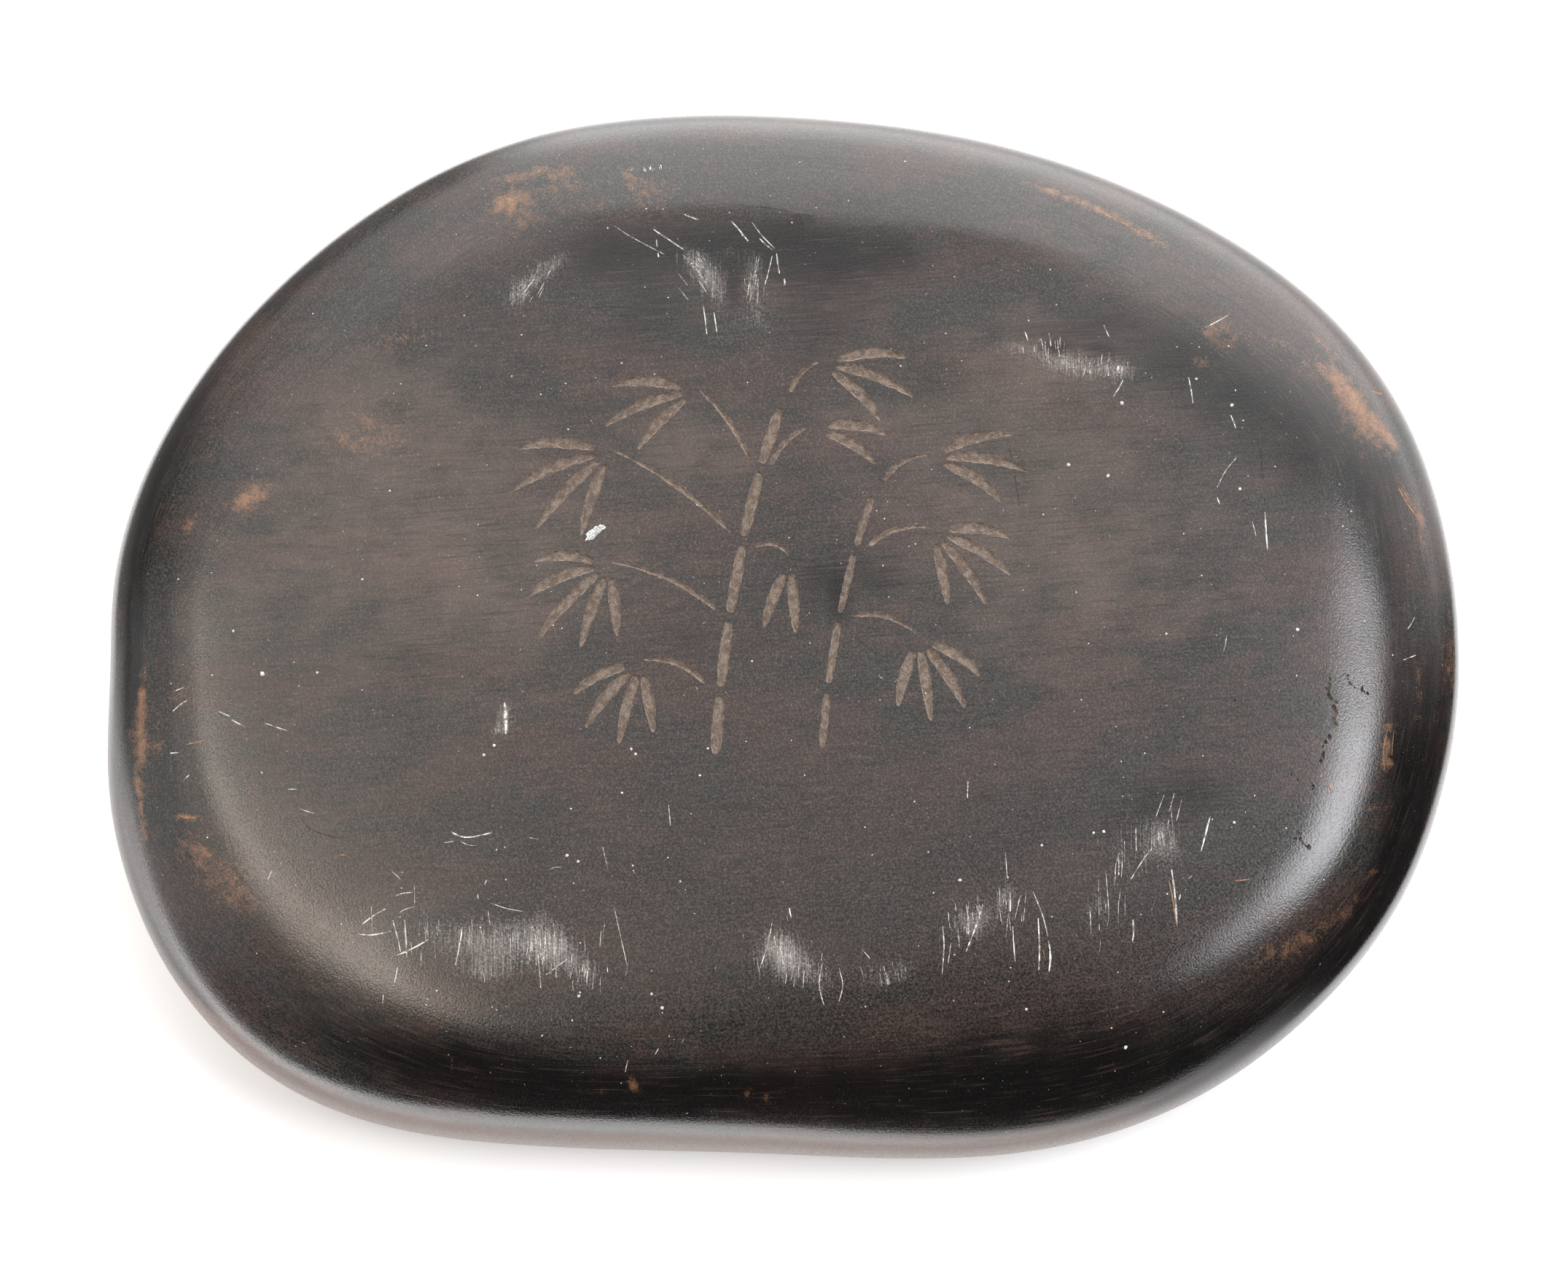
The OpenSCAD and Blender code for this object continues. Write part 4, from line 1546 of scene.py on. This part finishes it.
    def batches(self) -> list[list[Solid]]:
        """Sorts the cutters so that those of one batch don't touch each other.

        Returns:
            The batches.
        """
        found: list[list[Solid]] = []
        boxes: list[list[tuple[np.ndarray, np.ndarray]]] = []
        for solid in self.engraving.cuts + self.wear.marks:
            low = solid.points.min(0) - self.cutter_clear
            high = solid.points.max(0) + self.cutter_clear
            for batch, taken in zip(found, boxes):
                if not any((low < b).all() and (high > a).all() for a, b in taken):
                    break
            else:
                batch, taken = [], []
                found.append(batch)
                boxes.append(taken)
            batch.append(solid)
            taken.append((low, high))
        return found

    def build(self) -> Object:
        """Makes the stone's mesh, cuts it and dresses it.

        Returns:
            The stone.
        """
        stone = make_object("stone_body", [Solid(self.skin.points, self.skin.faces)])
        for fill in Fill:
            stone.data.materials.append(FINISHES[fill].build())
        for number, batch in enumerate(self.batches()):
            cutter = make_object(f"cutter_{number}", batch)
            for material in stone.data.materials:
                cutter.data.materials.append(material)
            cut = stone.modifiers.new("cut", "BOOLEAN")
            cut.operation = "DIFFERENCE"
            cut.solver = "MANIFOLD"
            cut.material_mode = "TRANSFER"
            cut.object = cutter
            apply_modifiers(stone)
            bpy.data.objects.remove(cutter)
        stone.data.shade_smooth()
        stone.data.set_sharp_from_angle(angle=math.radians(self.sharp_angle))
        self.crisp(stone.data)
        self.mark(stone.data)
        return stone

    def crisp(self, mesh: Mesh) -> None:
        """Sharpens the rims of the cuts, so that no wall shades the skin beside it.

        Args:
            mesh: The stone's mesh.
        """
        edge_of = values_of(mesh.loops, "edge_index", int)
        corners = values_of(mesh.polygons, "loop_total", int)
        fill_of = np.repeat(values_of(mesh.polygons, "material_index", int), corners)
        least = np.full(len(mesh.edges), len(Fill))
        most = np.zeros(len(mesh.edges), int)
        np.minimum.at(least, edge_of, fill_of)
        np.maximum.at(most, edge_of, fill_of)
        sharp = values_of(mesh.edges, "use_edge_sharp", bool)
        mesh.edges.foreach_set("use_edge_sharp", sharp | (least < most))

    def mark(self, mesh: Mesh) -> None:
        """Writes the masks that the slate's finish reads onto the mesh.

        Args:
            mesh: The stone's mesh, in metres.
        """
        points = values_of(mesh.vertices, "co", size=3) / MM
        tree = KDTree(len(self.skin.points))
        for i, p in enumerate(self.skin.points):
            tree.insert(p, i)
        tree.balance()
        nearest = [tree.find(p)[1] for p in points]
        around = self.skin.around[nearest]
        upper = points[:, 2] > self.skin.belt
        side = smooth(0.5 + self.skin.outside[nearest] / self.polish_width)
        inside = (around[:, 2] > self.skin.around[:, 2].max() - self.skin.wall) & ~upper
        ahead = smooth((self.front_y - points[:, 1]) / self.front_blend)
        ahead = ahead * smooth((self.front_x - points[:, 0]) / self.front_blend)
        low_level = self.low_level + (self.low_front_level - self.low_level) * ahead
        masks = {
            "side": side,
            # The lower side: bare slate, and painted reflection of the floor, higher at the front
            "low": smooth((low_level - points[:, 2]) / self.low_blend),
            "worn": self.skin.mask(points, self.worn),
            "handled_and_shade": self.skin.mask(points, self.handled_and_shade),
            "rub": self.skin.mask(points, self.rubs),
            # Stains, and painted shade of the dark bands on the rolls
            "stain_and_shade": self.skin.mask(points, self.stains_and_shade),
            "scuff": self.skin.mask(points, self.scuffs),
            "ink": inside * smooth(points[:, 2] / self.ink_blend),
        }
        for name, values in masks.items():
            write_values(mesh, name, values)
        write_values(mesh, "around", around)


@dataclass
class Remnants:
    """What lies on the stone: the white remnant of a label, and grains of chalk."""

    skin: Skin
    label_pixel: Pixel = (815, 731)
    label_long: float = 3.6
    label_wide: float = 1.6
    label_turn: float = 33.0
    label_thick: float = 0.12
    label_corners: int = 46
    # The torn edge: how far it strays, over how far, and its small unevenness
    tear_share: float = 0.4
    tear_pitch: float = 2.2
    tear_level: float = 7.0
    tear_ragged: tuple[float, float] = (0.9, 1.08)
    # The flake's rings from its edge inwards, as shares of its size
    label_rings: tuple[float, ...] = (1.0, 0.97, 0.8, 0.55, 0.3)
    crumple_mm: float = 0.09
    crumple_pitch: float = 2.5
    crumple_edge: float = 1.2
    label_clear: float = 0.02
    label_sunk: float = 0.03
    label_crown: float = 0.1
    grain_count: int = 460
    finest: float = 0.05
    coarsest: float = 0.15
    grain_corners: int = 7
    grain_ragged: tuple[float, float] = (0.8, 1.2)
    # A grain's rings from its foot up, its foot and its top, as shares of its radius
    grain_rings: tuple[tuple[float, float], ...] = ((-0.1, 0.8), (0.15, 1.0), (0.42, 0.7))
    grain_foot: float = 0.2
    grain_top: float = 0.5
    # The pixels between which grains lie, and how level the skin must be to hold one
    columns: tuple[float, float] = (180, 1960)
    lines: tuple[float, float] = (210, 1520)
    level_enough: tuple[float, float] = (0.8, 0.98)
    seed: int = 21
    # The grains that stand out, with their radius in millimetres
    bold: tuple[tuple[float, Pixel], ...] = (
        (0.38, (360, 925)), (0.2, (320, 866)), (0.2, (435, 923)), (0.26, (664, 1036)),
        (0.24, (678, 1023)), (0.24, (866, 1028)), (0.26, (872, 1035)), (0.2, (853, 1088)),
        (0.26, (778, 1174)), (0.24, (793, 1182)), (0.18, (783, 1110)), (0.26, (894, 1364)),
        (0.28, (908, 1383)), (0.24, (794, 1367)), (0.2, (971, 1027)), (0.2, (960, 1064)),
        (0.22, (1500, 1143)), (0.26, (1514, 1141)), (0.24, (1693, 1129)), (0.3, (1544, 1437)),
        (0.24, (1408, 1385)), (0.3, (1317, 1208)), (0.24, (1429, 1160)), (0.3, (1690, 556)),
        (0.28, (1780, 864)), (0.24, (1701, 671)), (0.3, (1466, 638)), (0.3, (1520, 653)),
        (0.34, (1539, 553)), (0.2, (1641, 520)), (0.2, (497, 795)), (0.2, (1600, 870)),
        (0.13, (681, 1166)), (0.15, (868, 1188)), (0.13, (869, 1195)), (0.12, (796, 1294)),
        (0.14, (795, 1366)), (0.12, (675, 1382)), (0.12, (681, 1386)), (0.14, (659, 1273)),
        (0.12, (694, 1207)), (0.12, (787, 1212)), (0.14, (1328, 1280)), (0.15, (1535, 1199)),
        (0.13, (1565, 1255)), (0.13, (1443, 1258)),
    )

    def label(self) -> Object:
        """Makes the flake of paper, torn all round and lifting at its edge.

        Returns:
            The flake.
        """
        middle, _ = self.skin.seen(self.label_pixel)
        draw = Random(self.seed)
        turn = math.radians(self.label_turn)
        along = np.array([math.cos(turn), math.sin(turn)])
        across = np.array([-math.sin(turn), math.cos(turn)])
        edge = []
        for k in range(self.label_corners):
            angle = 2 * math.pi * k / self.label_corners
            at = Vector((math.cos(angle), math.sin(angle), self.tear_level))
            reach = 1 + self.tear_share * noise.noise(at * self.tear_pitch)
            reach *= draw.uniform(*self.tear_ragged)
            edge.append(
                along * math.cos(angle) * self.label_long / 2 * reach
                + across * math.sin(angle) * self.label_wide / 2 * reach
            )
        rings = []
        for lifted in (False, True):
            for share in self.label_rings if lifted else self.label_rings[::-1]:
                ring = []
                for point in edge:
                    flat = middle[:2] + point * share
                    place, _ = self.skin.under(tuple(flat))
                    at = Vector((flat[0], flat[1], 0)) * self.crumple_pitch
                    crumple = self.crumple_mm * (noise.noise(at) + 0.5)
                    raised = self.label_thick + crumple * (self.crumple_edge - share)
                    lift = self.label_clear + raised if lifted else -self.label_sunk
                    ring.append(place + UP * lift)
                rings.append(ring)
        base, _ = self.skin.under(tuple(middle[:2]))
        top = base + UP * (self.label_thick + self.label_crown)
        flake = loft(np.array(rings), base - UP * self.label_sunk, top)
        made = make_object("label_remnant", [flake])
        made.data.materials.append(LABEL_PAPER.build())
        return made

    def grain(self, place: np.ndarray, normal: np.ndarray, radius: float, draw: Random) -> Solid:
        """Makes one flattened, uneven grain.

        Args:
            place: Where it lies.
            normal: The skin's normal there.
            radius: Its mean radius.
            draw: The source of its unevenness.

        Returns:
            The grain.
        """
        across, along = axes_on(normal)
        rings = []
        for level, share in self.grain_rings:
            ring = []
            for k in range(self.grain_corners):
                turn = 2 * math.pi * k / self.grain_corners
                reach = radius * share * draw.uniform(*self.grain_ragged)
                out = across * math.cos(turn) + along * math.sin(turn)
                ring.append(place + out * reach + normal * radius * level)
            rings.append(ring)
        foot = place - normal * radius * self.grain_foot
        return loft(np.array(rings), foot, place + normal * radius * self.grain_top)

    def grains(self) -> Object:
        """Makes the grains of chalk, the bold ones and a thin scatter.

        Returns:
            The grains, as one piece.
        """
        draw = Random(self.seed + 1)
        made = [self.grain(*self.skin.seen(pixel), radius, draw) for radius, pixel in self.bold]
        while len(made) < self.grain_count:
            pixel = (draw.uniform(*self.columns), draw.uniform(*self.lines))
            place, normal = self.skin.seen(pixel)
            if normal[2] > draw.uniform(*self.level_enough):
                size = self.finest + (self.coarsest - self.finest) * draw.random() ** 2
                made.append(self.grain(place, normal, size, draw))
        piece = make_object("chalk_grains", made)
        piece.data.materials.append(CHALK.build())
        return piece


@dataclass(frozen=True)
class Panel:
    """A soft light panel, by its direction from the stone and the angle that it fills."""

    name: str
    azimuth: float
    elevation: float
    wide: float
    tall: float
    radiance: float
    colour: str = "#ffffff"
    distance: float = 1.6

    def build(self) -> None:
        """Makes the panel, turned to the stone."""
        data = bpy.data.lights.new(self.name, "AREA")
        data.shape = "RECTANGLE"
        data.size = 2 * self.distance * math.tan(math.radians(self.wide / 2))
        data.size_y = 2 * self.distance * math.tan(math.radians(self.tall / 2))
        data.energy = self.radiance * math.pi * data.size * data.size_y
        data.color = linear(self.colour)[:3]
        made = placed(self.name, data)
        turn, rise = math.radians(self.azimuth), math.radians(self.elevation)
        out = Vector((math.cos(turn) * math.cos(rise), math.sin(turn) * math.cos(rise), math.sin(rise)))
        made.location = out * self.distance
        made.rotation_euler = (-out).to_track_quat("-Z", "Y").to_euler()
        made.visible_camera = False


@dataclass(frozen=True)
class Room:
    """The room round the table: a bright back wall, a pale left wall, a dark front."""

    back_glow: float = 3.9
    left_glow: float = 1.2
    rest_glow: float = 0.05
    # By direction, as parts of a unit vector
    ramps: tuple[Ramp, ...] = (
        ("behind", "Y", -0.05, 0.75),
        ("not_left", "X", -1.0, 0.1),
        ("left", "X", -0.3, -0.7),
        ("not_ahead", "Y", -0.65, -0.3),
        ("not_behind", "Y", 0.35, 0.05),
    )

    def build(self) -> None:
        """Makes the world from how bright the room is in each direction."""
        world = bpy.data.worlds.new("room")
        world.use_nodes = True
        tree = world.node_tree
        tree.nodes.clear()
        direction = add(tree, "TexCoord", output="Generated")
        parts = (
            (("behind", "not_left"), self.back_glow),
            (("left", "not_ahead", "not_behind"), self.left_glow),
        )
        glow = glow_over(tree, direction, self.rest_glow, self.ramps, parts)
        light = add(tree, "Background", {}, {"Strength": glow, "Color": linear("#ffffff")}, "Background")
        tree.links.new(light, tree.nodes.new("ShaderNodeOutputWorld").inputs["Surface"])
        bpy.context.scene.world = world


@dataclass(frozen=True)
class Floor:
    """White acrylic lit from below, more so away from the stone on three sides."""

    size: float = 10.0
    colour: str = "#f2f2f2"
    roughness: float = 0.9
    sheen: float = 0.2
    near_glow: float = 0.4
    back_glow: float = 3.0
    front_glow: float = 4.0
    left_glow: float = 2.5
    # By place, in metres from the stone's middle
    ramps: tuple[Ramp, ...] = (
        ("behind", "Y", 0.11, 0.16),
        ("ahead", "Y", -0.106, -0.15),
        ("not_right", "X", 0.17, -0.02),
        ("left", "X", -0.13, -0.17),
        ("not_behind", "Y", 0.02, -0.08),
    )

    def build(self) -> None:
        """Makes the floor."""
        half = self.size / 2
        corners = ((-half, -half, 0), (half, -half, 0), (half, half, 0), (-half, half, 0))
        mesh = bpy.data.meshes.new("floor")
        mesh.from_pydata(corners, [], [(0, 1, 2, 3)])
        material, tree = new_material("backlit_acrylic")
        place = add(tree, "TexCoord", output="Object")
        parts = (
            (("behind",), self.back_glow),
            (("ahead", "not_right"), self.front_glow),
            (("left", "not_behind"), self.left_glow),
        )
        glow = glow_over(tree, place, self.near_glow, self.ramps, parts)
        colour = linear(self.colour)
        inputs = {"Base Color": colour, "Roughness": self.roughness, "Specular IOR Level": self.sheen}
        inputs.update({"Emission Color": colour, "Emission Strength": glow})
        add_output(tree, add(tree, "BsdfPrincipled", {}, inputs, "BSDF"))
        mesh.materials.append(material)
        floor = placed("floor", mesh)


@dataclass(frozen=True)
class Flag:
    """A dark card flat on the floor round part of the stone, seen only in its gloss.

    Its ends fade out, as those of a card on short legs do in a soft gloss.
    """

    name: str
    start: float
    end: float
    colour: str
    gap: float = 20.0
    reach: float = 2000.0
    level: float = 0.5
    fade: float = 16.0
    roughness: float = 0.95
    sheen: float = 0.1

    def build(self, skin: Skin) -> None:
        """Makes the card, whose near edge follows the stone's outline.

        Args:
            skin: The stone's skin.
        """
        flat, outward, _ = skin.outline()
        turn = (np.degrees(np.arctan2(flat[:, 1], flat[:, 0])) - self.start) % 360
        swing = self.end - self.start
        chosen = np.flatnonzero(turn < swing)
        chosen = chosen[np.argsort(turn[chosen])]
        edges = [flat[chosen] + outward[chosen] * out for out in (self.gap, self.reach)]
        corners = np.column_stack([np.vstack(edges), np.full(2 * len(chosen), self.level)]) * MM
        count = len(chosen)
        faces = [(i, i + 1, i + count + 1, i + count) for i in range(count - 1)]
        mesh = bpy.data.meshes.new(self.name)
        mesh.from_pydata(corners.tolist(), [], faces)
        inside = np.minimum(turn[chosen], swing - turn[chosen])
        write_values(mesh, "cover", np.tile(smooth(inside / self.fade), 2))
        made = placed(self.name, mesh)
        for ray in ("camera", "diffuse", "shadow", "transmission"):
            setattr(made, f"visible_{ray}", False)
        material, tree = new_material("matte_card")
        colour = linear(self.colour)
        inputs = {"Base Color": colour, "Roughness": self.roughness, "Specular IOR Level": self.sheen}
        inputs["Alpha"] = add(tree, "Attribute", {"attribute_name": "cover"}, output="Fac")
        add_output(tree, add(tree, "BsdfPrincipled", {}, inputs, "BSDF"))
        mesh.materials.append(material)


@dataclass
class Studio:
    """A plain pale floor, plain soft light and the room round them."""

    skin: Skin
    flags: tuple[Flag, ...] = (
        Flag("right_front_card", 314, 376, "#2c2c2c"),
        Flag("left_back_card", 110, 190, "#7c7c7c"),
    )
    panels: tuple[Panel, ...] = (
        Panel("left_box", 188, 74, 22, 11, 8.0, "#fff1e4"),
        Panel("left_fill", 182, 60, 28, 20, 1.3, "#fff1e4"),
        Panel("right_box", -4, 61, 22, 20, 13.5, "#f8faff"),
    )

    def build(self) -> None:
        """Makes the floor, the lights and the room's glow."""
        Floor().build()
        for flag in self.flags:
            flag.build(self.skin)
        for panel in self.panels:
            panel.build()
        Room().build()
        bpy.context.scene.view_settings.view_transform = "Standard"


def main() -> None:
    """Builds the stone, its pigment and remnants, and the studio, in order."""
    logging.basicConfig(level=logging.INFO, format="%(name)s: %(message)s")
    camera = PhotoCamera()
    camera.build()
    skin = Skin(camera)
    skin.build()
    LOG.info("skin: %d points", len(skin.points))
    Studio(skin).build()

    engraving = Engraving(skin)
    engraving.build()
    wear = Wear(skin)
    wear.build()
    LOG.info("cutters: %d cuts and %d marks", len(engraving.cuts), len(wear.marks))

    stone = InkStone(skin, engraving, wear).build()
    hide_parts("stone")
    pigment = make_object("pigment_in_cuts", engraving.fills)
    pigment.data.materials.append(DRIED_OCHRE.build())
    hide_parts("pigment_fill")
    remnants = Remnants(skin)
    for piece in (stone, pigment, remnants.label(), remnants.grains()):
        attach(piece, "root")
        LOG.info("%s: %d faces", piece.name, len(piece.data.polygons))


if __name__ == "__main__":
    main()
